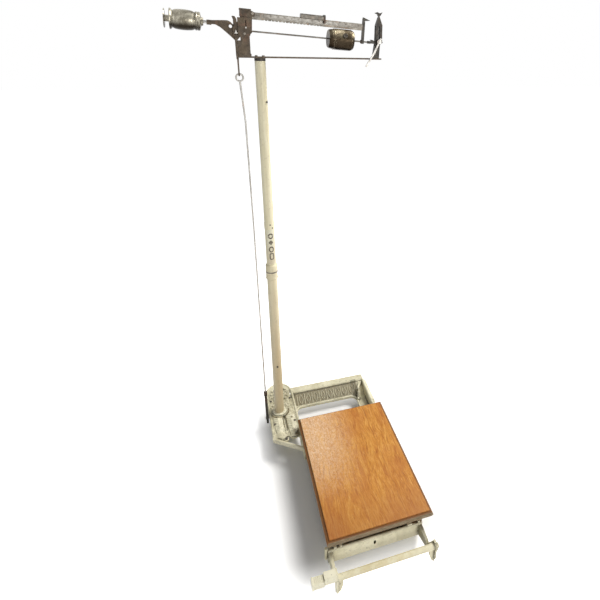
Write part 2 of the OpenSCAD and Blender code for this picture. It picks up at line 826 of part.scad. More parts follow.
// The stand's two cheeks have the beam between them and a window for the knife
module fulcrum_stand() {
    split_z = fulcrum_z - 36;
    placed() color(iron) difference() {
        union() {
            block(stand_x0, stand_x1, column_y - cheek_y1, column_y + cheek_y1, carrier_top, fulcrum_z + 10);
            block(
                stand_x0, stand_x1 + 2, column_y - cheek_y1, column_y + cheek_y1,
                carrier_top, carrier_top + 7
            );
        }
        block(stand_x0 - 1, fulcrum_x - 13, column_y - 30, column_y + 30, fulcrum_z - 26, fulcrum_z + 11);
        block(stand_x0 - 2, stand_x1 + 2, column_y - cheek_y0, column_y + cheek_y0, split_z, fulcrum_z + 11);
        block(fulcrum_x - 8, fulcrum_x + 8, column_y - 30, column_y + 30, fulcrum_z - 6, fulcrum_z + 11);
        for (p = shield_screw_places) rod_y(p.x, column_y - cheek_y1 - 1, column_y - cheek_y0 + 1, p.y, 3.2);
    }
}

// Hardened seats in the cheeks' windows, each with a V for the knife's edge
module fulcrum_bearings() {
    placed() color(steel) for (side = [-1, 1]) {
        y0 = column_y + side * (cheek_y0 + cheek_y1) / 2;
        slab_y(y0 - 3, y0 + 3)
            translate([fulcrum_x, fulcrum_z])
                polygon([[-8, -6], [8, -6], [8, 3], [5, 3], [0, -seat], [-5, 3], [-8, 3]]);
    }
}

shield_screw_places = [[fulcrum_x - 2.5, fulcrum_z - 8.4]];
shield_y = column_y - cheek_y1;

module shield_plate() {
    x0 = fulcrum_x - 20;
    x1 = fulcrum_x + 13.3;
    z0 = fulcrum_z - 17;
    z1 = fulcrum_z + 34;
    placed() color(iron) difference() {
        slab_y(shield_y - seat - 3, shield_y - seat) difference() {
            union() {
                translate([x0, z0 + 8]) square([x1 - x0, z1 - z0 - 8]);
                translate([x0 + 8, z0]) square([x1 - x0 - 16, 20]);
                for (x = [x0 + 8, x1 - 8]) translate([x, z0 + 8]) circle(r = 8);
            }
            translate([fulcrum_x + 0.8, fulcrum_z + 5]) square([3.2, 22]);
        }
        for (p = shield_screw_places) rod_y(p.x, shield_y - 6, shield_y + 1, p.y, 3.4);
    }
}

module shield_screws() {
    placed() color(dark) for (p = shield_screw_places)
        translate([p.x, shield_y - 3.6, p.y]) rotate([90, 0, 0]) {
        translate([0, 0, -8.5]) cylinder(d = 3, h = 8.6, $fn = 24);
        cheese_head(7, 2.6);
    }
}

// Guide post: two plates with the beam's tip between them
guide_low = carrier_top;
stop_r = 1.5;
stop_at = tip_reach - 15;
stop_low = -1.4 - 1.02 * (seat + stop_r);
stop_x = fulcrum_x + stop_at * cos(beam_droop) + stop_low * sin(beam_droop);
stop_z = fulcrum_z - stop_at * sin(beam_droop) + stop_low * cos(beam_droop);

module guide_outline() {
    polygon([
        [guide_x0 - 7, guide_low], [guide_x1 - 9, guide_low], [guide_x1 - 6.5, stop_z - 2],
        [guide_x1, stop_z + 6], [guide_x1, guide_low + guide_h - 26], [guide_x1 - 8, guide_low + guide_h - 6],
        [guide_x1 - 10, guide_low + guide_h], [guide_x1 - 13, guide_low + guide_h - 6],
        [guide_x0 + 1, guide_low + guide_h - 26], [guide_x0, stop_z + 6]
    ]);
}

module guide_post() {
    cy = column_y;
    inner = guide_gap;
    outer = guide_gap + guide_t;
    placed() color(iron) difference() {
        slab_y(cy - outer, cy + outer) guide_outline();
        block(guide_x0 - 9, guide_x1 + 2, cy - inner, cy + inner, stop_z - 5, fulcrum_z + 25);
        for (side = [-1, 1])
            block(
                guide_x0 + 8, guide_x0 + 13.5, cy + side * 9 - 6, cy + side * 9 + 6,
                fulcrum_z - 12, fulcrum_z + 24
            );
        rod_y(stop_x, cy - outer - 1, cy + outer + 1, stop_z, 2 * (stop_r + running));
        rod_y(arrest_x, cy - outer - 1, cy - inner + 1, arrest_z, 5 + 2 * running);
    }
}

module guide_stop_pin() {
    outer = guide_gap + guide_t + 0.5;
    placed() color(steel) rod_y(stop_x, column_y - outer, column_y + outer, stop_z, 2 * stop_r);
}

module guide_finial() {
    top = guide_low + guide_h;
    placed() color(iron) slab_y(column_y - 3, column_y + 3)
        translate([guide_x1 - 10, top + seat])
            polygon([[-4, 0], [4, 0], [11, 11], [3, 7.5], [-5, 11], [-14, 8], [-4, 4]]);
}

// Arrest lever, hanging in front of the guide post
arrest_x = stop_x;
arrest_z = stop_z + 7;
arrest_y1 = column_y - carrier_half - pass;
guide_front = column_y - guide_gap - guide_t;

module arrest_lever() {
    placed() color("ivory") difference() {
        slab_y(arrest_y1 - 4, arrest_y1) translate([arrest_x, arrest_z]) {
            circle(r = 6.5);
            rotate(-116) translate([0, -2.6]) square([40, 5.2]);
            rotate(-116) translate([38, -2.6]) rotate(-6) square([46, 4.6]);
            rotate(60) translate([0, -3]) square([11, 6]);
        }
        rod_y(arrest_x, arrest_y1 - 6, arrest_y1 + 2, arrest_z, 5 + 2 * running);
    }
}

module arrest_pivot() {
    placed() color(steel) {
        rod_y(arrest_x, arrest_y1 - 4 - seat, column_y - guide_gap - 0.5, arrest_z, 5);
        rod_y(arrest_x, arrest_y1 - 6.5, arrest_y1 - 4 - seat, arrest_z, 9);
        rod_y(arrest_x, arrest_y1 + seat, guide_front, arrest_z, 9);
    }
}

// Beam: head and gooseneck arm are one casting
module beam_casting() {
    hw = web_t / 2;
    placed() color(iron) on_beam() difference() {
        union() {
            slab_y(-hw, hw)
                polygon([
                    [stub_x, 9], [stub_x, 18], [-79, 20], [-58, 22], [-47, 22.5], [-40, 20], [-33, 14],
                    [-28, 14], [-14, 30], [-13, head_z0 + 1], [19, head_z0 + 1], [19, -4], [14, -9], [8, -13],
                    [-10, -14], [-20, -26], [-27, -28], [-40, -17], [-54, -6], [-66, 3], [-79, 9]
                ]);
            block(-15, 15, -9, 9, head_z0, head_z1);
            block(-16, 16, -10, 10, head_z1 - 4, head_z1);
            slab_y(-6, 6)
                polygon([
                    [14, head_z0], [26, head_z0 + 2], [26, head_z1 - 8], [20, head_z1 - 5],
                    [14, head_z1 - 3]
                ]);
            rotate([0, -90, 0]) translate([balance_z, 0, -stub_x - 12]) cylinder(d = 13, h = 12.5);
        }
        slab_y(-hw - 1, hw + 1) knife_outline(1);
        slab_y(-hw - 1, hw + 1) translate([-load_arm, 0]) knife_outline(-1);
        translate([-39, hw + 5, 8]) rotate([90, 0, 0]) cylinder(d = 9, h = 2 * hw + 10);
        block(16, 30, -bar_t / 2, bar_t / 2, bar_bottom, bar_top);
        rotate([0, 90, 0]) translate([0, 0, 5]) cylinder(d = rod_d + 2 * running, h = 16);
        rotate([0, -90, 0])
            translate([balance_z, 0, -stub_x - 10]) cylinder(d = spindle_d + 2 * running, h = 20);
        translate([20, 12, bar_top - 4]) rotate([90, 0, 0]) cylinder(d = 3.4, h = 24);
    }
}

module knife_outline(rise) {
    polygon([[0, 0], [knife_half, rise * knife_h], [-knife_half, rise * knife_h]]);
}

module fulcrum_knife() {
    placed() color(steel) on_beam() slab_y(-cheek_y1 + 0.5, cheek_y1 - 0.5) knife_outline(1);
}

module load_knife() {
    placed() color(steel) on_beam() slab_y(-13.6, 13.6) translate([-load_arm, 0]) knife_outline(-1);
}

module graduated_bar() {
    notch_x0 = 53;
    placed() color(nickel) on_beam() difference() {
        slab_y(-bar_t / 2, bar_t / 2) difference() {
            translate([16, bar_bottom]) square([bar_reach - 16, bar_h]);
            for (i = [0:notches - 1])
                translate([notch_x0 + i * notch_pitch, bar_bottom])
                    polygon([[-2.4, -1], [0, 4], [2.4, -1]]);
        }
        translate([20, 12, bar_top - 4]) rotate([90, 0, 0]) cylinder(d = 3.4, h = 24);
    }
}

module bar_screw() {
    placed() color(dark) on_beam() translate([20, -6 - seat, bar_top - 4]) rotate([90, 0, 0]) {
        translate([0, 0, -12]) cylinder(d = 3, h = 12.1, $fn = 24);
        cheese_head(7, 2.5);
    }
}

module lower_rod() {
    placed() color(steel) on_beam()
        translate([5, 0, 0]) rotate([0, 90, 0]) cylinder(d = rod_d, h = post_x1 + 20 - 5);
}

module end_bracket() {
    placed() color(dark) on_beam() difference() {
        union() {
            slab_y(-5, 5)
                polygon([
                    [post_x0, -6], [post_x1, -6], [post_x1, bar_top + 4.5], [post_x1 - 1, bar_top + 8.5],
                    [post_x1 + 16, bar_top + 11], [post_x1 + 2, bar_top + 15.5],
                    [post_x1 - 6, bar_top + 18.5],
                    [post_x0, bar_top + 13.5]
                ]);
            translate([post_x0 - 3, 0, 0]) rotate([0, 90, 0]) cylinder(d = 10, h = 3.5);
        }
        translate([post_x0 - 4, 0, 0]) rotate([0, 90, 0]) cylinder(d = rod_d + 2 * running, h = 20);
    }
}

module beam_tip() {
    placed() color(dark) on_beam() difference() {
        union() {
            slab_y(-2.5, 2.5)
                polygon([
                    [post_x1 + 18, -3], [post_x1 + 36, -3], [tip_reach, 1], [tip_reach, 5],
                    [post_x1 + 36, 4], [post_x1 + 28, 8], [post_x1 + 20, 8], [post_x1 + 24, 4],
                    [post_x1 + 18, 3]
                ]);
            translate([post_x1 + 12, 0, 0]) rotate([0, 90, 0]) cylinder(d = rod_d + 3.5, h = 10);
        }
        translate([post_x1, 0, 0]) rotate([0, 90, 0]) cylinder(d = rod_d + 2 * running, h = 20 + running);
    }
}

module counterweight_spindle() {
    inner = stub_x + 10;
    outer = disc_x0 + 2;
    placed() color(steel) on_beam()
        translate([outer, 0, balance_z]) rotate([0, 90, 0]) cylinder(d = spindle_d, h = inner - outer);
}

// Poises
module upper_poise() {
    top = bar_top + 10.5;
    low = bar_top - 3;
    placed() color(nickel) on_beam() difference() {
        slab_x(poise_at, poise_at + poise_l)
            polygon([
                [-9.5, low], [9.5, low], [11, low + 2], [11, top - 4], [7, top], [-7, top], [-11, top - 4],
                [-11, low + 2]
            ]);
        block(
            poise_at - 1, poise_at + poise_l + 1, -bar_t / 2 - seat, bar_t / 2 + seat,
            low - 1, bar_top + seat
        );
    }
}

module poise_end_plate() {
    x0 = poise_at + poise_l;
    placed() color(dark) on_beam() difference() {
        slab_x(x0, x0 + 5)
            polygon([
                [-13, bar_top - 10], [13, bar_top - 10], [13, bar_top + 9], [6, bar_top + 13],
                [-6, bar_top + 13], [-13, bar_top + 9]
            ]);
        block(x0 - 1, x0 + 6, -bar_t / 2 - seat, bar_t / 2 + seat, bar_top - 12, bar_top + seat);
    }
}

set_screw_at = cylinder_l * 0.6;
set_screw_turn = -20;

module cylinder_poise() {
    r = cylinder_r;
    l = cylinder_l;
    placed() color(brass) on_beam() translate([cylinder_at, 0, 0]) difference() {
        rotate([0, 90, 0]) rotate_extrude($fn = 72)
            polygon([
                [0, 0], [r - 5, 0], [r - 3, 4], [r - 2, 12], [r - 2, 14], [r, 15], [r, 17], [r - 0.8, 18],
                [r - 0.8, 19.5], [r, 20.5], [r, l - 8], [r - 1, l - 7], [r - 1, l - 5], [r - 4, l], [0, l]
            ]);
        rotate([0, 90, 0]) translate([0, 0, -1]) cylinder(d = rod_d + 2 * running, h = l + 2);
        translate([set_screw_at, 0, 0])
            rotate([set_screw_turn + 90, 0, 0]) cylinder(d = 6 + 2 * running, h = r + 1);
    }
}

module poise_set_screw() {
    placed() color(dark) on_beam()
        translate([cylinder_at + set_screw_at, 0, 0])
            rotate([set_screw_turn + 90, 0, 0])
                translate([0, 0, cylinder_r - 12]) {
                    cylinder(d = 6, h = 12.6, $fn = 24);
                    translate([0, 0, 12.5]) cylinder(d = 10, h = 2, $fn = 24);
                    translate([0, 0, 14]) cheese_head(14, 4);
                }
}

// Counterweight: a turned barrel between flanges, and the disc that locks it
module counterweight_barrel() {
    r = barrel_r;
    l = barrel_l;
    placed() color(nickel) on_beam() translate([barrel_x0, 0, balance_z]) rotate([0, 90, 0]) difference() {
        rotate_extrude($fn = 72)
            polygon(concat(
                [[0, 0], [9, 0], [9, 3], [r - 1, 0.5], [r, 1.5], [r - 0.5, 4], [r - 5, 8]],
                [for (a = [0:15:180]) [r - 4.5 + 4 * sin(a), 10 + (l - 34) * (1 - cos(a)) / 2]],
                [[r - 5, l - 22], [r - 3, l - 20], [r - 2.5, l - 17], [r - 4, l - 15], [r - 2.5, l - 12],
                 [r - 4, l - 8], [12, l - 5], [10, l], [0, l]]
            ));
        translate([0, 0, -1]) cylinder(d = spindle_d + 2 * running, h = l + 2);
    }
}

module lock_disc() {
    placed() color(nickel) on_beam() translate([disc_x0, 0, balance_z]) rotate([0, 90, 0]) difference() {
        rotate_extrude($fn = 72)
            polygon([
                [0, 0], [8, 0], [disc_r - 1, 1.2], [disc_r, 2.2], [disc_r - 1, disc_t],
                [8.5, disc_t - 0.4], [8.5, disc_t + disc_hub_l], [0, disc_t + disc_hub_l]
            ]);
        translate([0, 0, 2]) cylinder(d = spindle_d + 2 * running, h = 30);
    }
}

// Load shackle, hung on the load knife, and the pull rod hung in its eye
strap_in = web_t / 2 + 3;
strap_out = strap_in + 3.5;
fork_z = -70;

module load_shackle() {
    placed() color(dark) on_link() difference() {
        union() {
            slab_y(-strap_out, strap_out)
                polygon([
                    [-4, fork_z - 8], [1.8, fork_z - 8], [1.8, -21], [8.5, -15], [8.5, 6], [4, 12], [3.5, 28],
                    [-0.5, 35], [-8, 36], [-5, 28], [-5, 12], [-8.5, 6], [-8.5, -15], [-4, -21]
                ]);
            slab_x(-2.6, 1.4)
                polygon([
                    [-strap_out, fork_z - 7], [strap_out, fork_z - 7], [5.5, fork_z - 20],
                    [5.5, -ring_drop + 4],
                    [-5.5, -ring_drop + 4], [-5.5, fork_z - 20]
                ]);
        }
        block(-20, 20, -strap_in, strap_in, fork_z, 50);
        slab_y(-30, 30) polygon([[0, seat], [5.5, -6], [5.5, -13], [-5.5, -13], [-5.5, -6]]);
        rod_x(-10, 10, 0, -ring_drop + ring_mid, ring_wire + 3.4 * seat);
    }
}

// The pull rod is slightly bent: points along it, across and down from the load knife
rod_points = [
    [0, -ring_drop - ring_mid + 0.5], [6.8, -258], [6, -608], [0, stirrup_l - link_l + 4]
];

module pull_rod() {
    foot = link_l - stirrup_l + 14;
    placed() color("ivory") on_link() {
        translate([0, 0, -ring_drop])
            rotate([90, 0, 0]) rotate_extrude($fn = 48)
                translate([ring_mid, 0]) circle(d = ring_wire, $fn = 24);
        for (i = [1:3]) {
            a = rod_points[i - 1];
            b = rod_points[i];
            translate([b.x, 0, b.y])
                rotate([0, atan2(a.x - b.x, a.y - b.y), 0]) cylinder(d = pull_d, h = norm(a - b), $fn = 24);
            translate([b.x, 0, b.y]) rotate([90, 0, 0]) sphere(d = pull_d + 0.5, $fn = 24);
        }
        translate([0, 0, -foot]) cylinder(d = pull_d, h = 18, $fn = 24);
    }
}

module rod_stirrup() {
    placed() color(dark) on_link() translate([0, 0, -link_l]) difference() {
        union() {
            block(-4, 4, -13, 13, -9, stirrup_l - 14);
            translate([0, 0, stirrup_l - 15]) cylinder(d = pull_d + 7, h = 15, $fn = 24);
        }
        block(-10, 10, -9, 9, 2.5, stirrup_l - 20);
        translate([0, 0, stirrup_l - 14 - running]) cylinder(d = pull_d + 2 * running, h = 20);
        slab_x(-10, 10) polygon([[0, -seat], [5, 3], [-5, 3]]);
    }
}

// Levers in the base
module long_lever() {
    front_end_y = fulcrum_front_y - 9;
    placed() color(cream) difference() {
        union() {
            translate([0, 0, arm_z0]) linear_extrude(arm_h) {
                bar([front_xs[0], front_end_y], elbow, arm_t);
                bar([front_xs[1], right_start_y], elbow, arm_t);
                bar([front_xs[1], front_end_y], [front_xs[1], right_start_y + 2], arm_t);
                translate(elbow) circle(d = arm_t + 9);
                bar(elbow, nose_root, arm_t);
            }
            block(nose_root_x - 2, nose_root_x + 12, column_y - 9, column_y + 9, arm_z0, arm_z0 + arm_h + 3);
        }
        for (x = front_xs) {
            knife_x(x - 20, x + 20, fulcrum_front_y, knife_z);
            knife_x(x - 20, x + 20, fulcrum_front_y + knife_gap, knife_z, -1);
        }
        knife_x(nose_root_x - 9, nose_root_x + 9, column_y, knife_z);
        link_knife(30);
    }
}

// Short prism through the long lever's right arm, from which the link hangs
module link_knife(half) {
    knife_x(link_x_at - half, link_x_at + half, link_y, knife_z, -1);
}

// The right arm is straight from its load knife to the elbow
right_start_y = fulcrum_front_y + knife_gap + 10;
link_x_at = front_xs[1] + (elbow.x - front_xs[1]) * (link_y - right_start_y) / (elbow.y - right_start_y);

module long_lever_knives() {
    placed() color(steel) {
        for (x = front_xs) {
            knife_x(x - cheek_out - 1, x + cheek_out + 1, fulcrum_front_y, knife_z);
            knife_x(x - cheek_out - 1, x + cheek_out + 1, fulcrum_front_y + knife_gap, knife_z, -1);
        }
        knife_x(nose_x - 7, nose_root_x + 9, column_y, knife_z);
        link_knife(link_half - 0.3);
    }
}

short_z0 = arm_z0 - short_drop;
short_z1 = short_z0 + 8;
link_half = 16;

// The short lever's ears are level with the long lever, and step down to its arms
step_y = fulcrum_rear_y - knife_gap - 9;

module short_ear(x) {
    slab_x(x - arm_t / 2, x + arm_t / 2)
        polygon([
            [fulcrum_rear_y + 9, arm_z0], [fulcrum_rear_y + 9, arm_z0 + arm_h], [step_y, arm_z0 + arm_h],
            [step_y - 11, short_z1 - 2], [step_y - 11, short_z0 + 2], [step_y - 2, short_z0 + 2],
            [step_y + 16, arm_z0]
        ]);
}

module short_lever() {
    placed() color(cream) difference() {
        union() {
            for (x = rear_xs) short_ear(x);
            translate([0, 0, short_z0]) linear_extrude(short_z1 - short_z0) {
                for (x = rear_xs) {
                    bar([x, step_y - 5], [link_x_at, link_y], arm_t);
                    translate([x, step_y - 5]) circle(d = arm_t + 4);
                }
                translate([link_x_at, link_y]) circle(d = arm_t + 6);
            }
        }
        for (x = rear_xs) {
            knife_x(x - 20, x + 20, fulcrum_rear_y, knife_z);
            knife_x(x - 20, x + 20, fulcrum_rear_y - knife_gap, rear_load_z, -1);
        }
        short_nose_knife(30);
    }
}

module short_nose_knife(half) {
    slab_x(link_x_at - half, link_x_at + half)
        translate([link_y, knife_z - nose_drop])
            polygon([[0, 0], [4, 9], [-4, 9]]);
}

module short_lever_knives() {
    placed() color(steel) {
        for (x = rear_xs) {
            knife_x(x - cheek_out - 1, x + cheek_out + 1, fulcrum_rear_y, knife_z);
            knife_x(x - cheek_out - 1, x + cheek_out + 1, fulcrum_rear_y - knife_gap, rear_load_z, -1);
        }
        short_nose_knife(link_half - 0.3);
    }
}

// Stirrup between the two levers: hangs on one knife and carries the other
module lever_link() {
    low = knife_z - nose_drop;
    inner = link_half - 3.5;
    placed() color(iron) translate([link_x_at, link_y, 0]) difference() {
        block(-link_half, link_half, -8.5, 8.5, low - 7, knife_z + 7);
        block(-inner, inner, -9, 9, low - 2, knife_z + 8);
        slab_x(-30, 30) polygon([[0, knife_z + seat], [6, knife_z - 12], [-6, knife_z - 12]]);
        slab_x(-30, 30) polygon([[0, low - seat], [5.2, low + 10.5], [-5.2, low + 10.5]]);
    }
}

// Platform: iron frame on four feet, wooden board and its edge moulding
board_z = platform_h - board_t;
tray_h = 12;
tray_z = board_z - tray_h;

module platform_foot(x, y, edge_z) {
    for (side = [-1, 1]) {
        inner = x + side * cheek_in;
        outer = x + side * cheek_out;
        slab_x(min(inner, outer), max(inner, outer))
            translate([y, 0])
                polygon([
                    [-8, tray_z + 2], [-8, edge_z - 8], [-5, edge_z - 8], [0, edge_z + seat],
                    [5, edge_z - 8], [8, edge_z - 8], [8, tray_z + 2]
                ]);
    }
}

module platform_frame() {
    inset = 14;
    bar_w = 14;
    placed() color(iron) {
        difference() {
            block(inset, platform_w - inset, inset, platform_d - inset, tray_z, board_z);
            block(
                inset + bar_w, platform_w - inset - bar_w, inset + bar_w, platform_d - inset - bar_w,
                tray_z - 1, board_z + 1
            );
        }
        for (y = [fulcrum_front_y + knife_gap, fulcrum_rear_y - knife_gap])
            block(inset, platform_w - inset, y - 8, y + 8, tray_z, board_z);
        for (x = front_xs) platform_foot(x, fulcrum_front_y + knife_gap, knife_z);
        for (x = rear_xs) platform_foot(x, fulcrum_rear_y - knife_gap, rear_load_z);
    }
}

module platform_board() {
    placed() color("#b8702c") block(0, platform_w, 0, platform_d, board_z, platform_h);
}

// Moulding profile: outwards from the board's side, and up from the moulding's foot
module moulding_profile() {
    out = moulding_out;
    top = platform_h - 3;
    foot = board_z + 1;
    polygon([
        [0, foot], [out - 4, foot], [out - 2, foot + 3], [out - 2, top - 11],
        [out, top - 10], [out, top - 6], [out - 1, top - 3], [out - 3, top - 1], [2, top], [0, top]
    ]);
}

module moulding_side(length) {
    out = moulding_out;
    intersection() {
        slab_x(-out, length + out) mirror([1, 0]) moulding_profile();
        translate([0, 0, board_z - 1])
            linear_extrude(board_t + 2)
                polygon([[0, 0], [length, 0], [length + out + 1, -out - 1], [-out - 1, -out - 1]]);
    }
}

module platform_moulding() {
    placed() color("#6e5a45") {
        moulding_side(platform_w);
        translate([platform_w, 0, 0]) rotate(90) moulding_side(platform_d);
        translate([platform_w, platform_d, 0]) rotate(180) moulding_side(platform_w);
        translate([0, platform_d, 0]) rotate(270) moulding_side(platform_d);
    }
}

base_frame();
foot_plate();
foot_plate_screws();
lever_bearing_stands();
relief_shaft();
relief_pedal();
shaft_end_nut();
lower_tube();
joint_sleeve();
joint_ring();
upper_tube();
column_band();
column_screws();
column_cap();
carrier_bar();
carrier_screws();
fulcrum_stand();
fulcrum_bearings();
shield_plate();
shield_screws();
guide_post();
guide_stop_pin();
guide_finial();
arrest_lever();
arrest_pivot();
beam_casting();
fulcrum_knife();
load_knife();
graduated_bar();
bar_screw();
lower_rod();
end_bracket();
beam_tip();
counterweight_spindle();
upper_poise();
poise_end_plate();
cylinder_poise();
poise_set_screw();
counterweight_barrel();
lock_disc();
load_shackle();
pull_rod();
rod_stirrup();
long_lever();
long_lever_knives();
short_lever();
short_lever_knives();
lever_link();
platform_frame();
platform_board();
platform_moulding();
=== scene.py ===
import json
import math

import bpy
import numpy as np
from mathutils import Matrix, Vector
from mathutils.bvhtree import BVHTree


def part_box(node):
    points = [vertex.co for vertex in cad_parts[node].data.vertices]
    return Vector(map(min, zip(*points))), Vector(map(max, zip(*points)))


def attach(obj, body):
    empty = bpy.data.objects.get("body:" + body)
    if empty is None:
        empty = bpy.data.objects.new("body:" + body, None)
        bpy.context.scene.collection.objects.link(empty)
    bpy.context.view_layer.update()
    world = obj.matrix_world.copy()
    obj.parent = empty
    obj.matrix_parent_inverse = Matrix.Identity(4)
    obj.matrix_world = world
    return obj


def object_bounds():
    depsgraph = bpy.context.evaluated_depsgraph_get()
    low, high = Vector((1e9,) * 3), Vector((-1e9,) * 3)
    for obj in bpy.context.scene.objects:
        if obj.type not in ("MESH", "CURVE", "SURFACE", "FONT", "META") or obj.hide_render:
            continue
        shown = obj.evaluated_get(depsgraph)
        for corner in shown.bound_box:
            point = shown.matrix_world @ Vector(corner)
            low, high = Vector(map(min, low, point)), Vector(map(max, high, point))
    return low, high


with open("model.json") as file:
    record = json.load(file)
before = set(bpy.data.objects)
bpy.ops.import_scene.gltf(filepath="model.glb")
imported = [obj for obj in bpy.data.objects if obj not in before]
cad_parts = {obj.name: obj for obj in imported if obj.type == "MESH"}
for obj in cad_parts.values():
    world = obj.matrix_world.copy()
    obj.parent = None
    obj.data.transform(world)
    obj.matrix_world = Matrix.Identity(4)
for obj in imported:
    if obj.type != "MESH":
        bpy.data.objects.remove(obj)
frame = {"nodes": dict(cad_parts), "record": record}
cad_low, cad_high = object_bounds()
scene = bpy.context.scene
scene.view_settings.view_transform = "Standard"

# Places are written from the board's front left top corner, in millimetres: x right, y back, z up
board_low, board_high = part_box("platform_board")
ORIGIN = Vector((board_low.x, board_low.y, board_high.z))
MM = Matrix.Scale(0.001, 4)


def at(x, y, z):
    return ORIGIN + Vector((x, y, z)) / 1000


# The beam's own frame: from the main knife's edge, along the beam, across it and up
knife_low, knife_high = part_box("fulcrum_knife")
DROOP = math.radians(3.5)
KNIFE_X = -0.098
FULCRUM = Vector((ORIGIN.x + KNIFE_X, (knife_low.y + knife_high.y) / 2, knife_low.z))
ALONG = Vector((math.cos(DROOP), 0, -math.sin(DROOP)))
UPWARD = Vector((math.sin(DROOP), 0, math.cos(DROOP)))
ACROSS = Vector((0, 1, 0))
BEAM = Matrix((
    (ALONG.x, ACROSS.x, UPWARD.x, FULCRUM.x),
    (ALONG.y, ACROSS.y, UPWARD.y, FULCRUM.y),
    (ALONG.z, ACROSS.z, UPWARD.z, FULCRUM.z),
    (0, 0, 0, 1),
))

# The sloping panel under the frame's rear rim
PANEL_FOOT, PANEL_HEAD = at(0, 612.2, -81.4), at(0, 659.4, -51.4)
PANEL_UP = (PANEL_HEAD - PANEL_FOOT).normalized()
PANEL_OUT = Vector((1, 0, 0)).cross(PANEL_UP)

# Boxes of the castings where the paint differs: low corner, high corner, soft margin
ZONES = {
    "leaves": ((-91, 462, -47), (-6, 538, -30), 3),
    "plate": ((-92, 440, -47), (-5, 684, -30), 2),
    "collar": ((-95, 538, -39), (-28, 604, -30), 0.6),
    "brace": ((240, 590, -84), (264, 664, -40), 1),
    "shaft": ((-60, -90, None), (300, -45, -36), 3),
    "golden": ((40, -85, -80), (215, -45, -40), 30),
    "panel": ((-8, 618, -84), (262, 664, -49), 2),
    "right_arm": ((258, -56, -120), (300, -2, -40), 4),
    "bearing": ((282, -85, -120), (300, -50, -40), 3),
    "bay": ((-110, 425, -60), (2, 680, -30), 6),
    "shoe": ((-70, -100, -120), (2, -40, -30), 4),
    "inner": ((264, 600, -112), (292, 668, -44), 2),
}


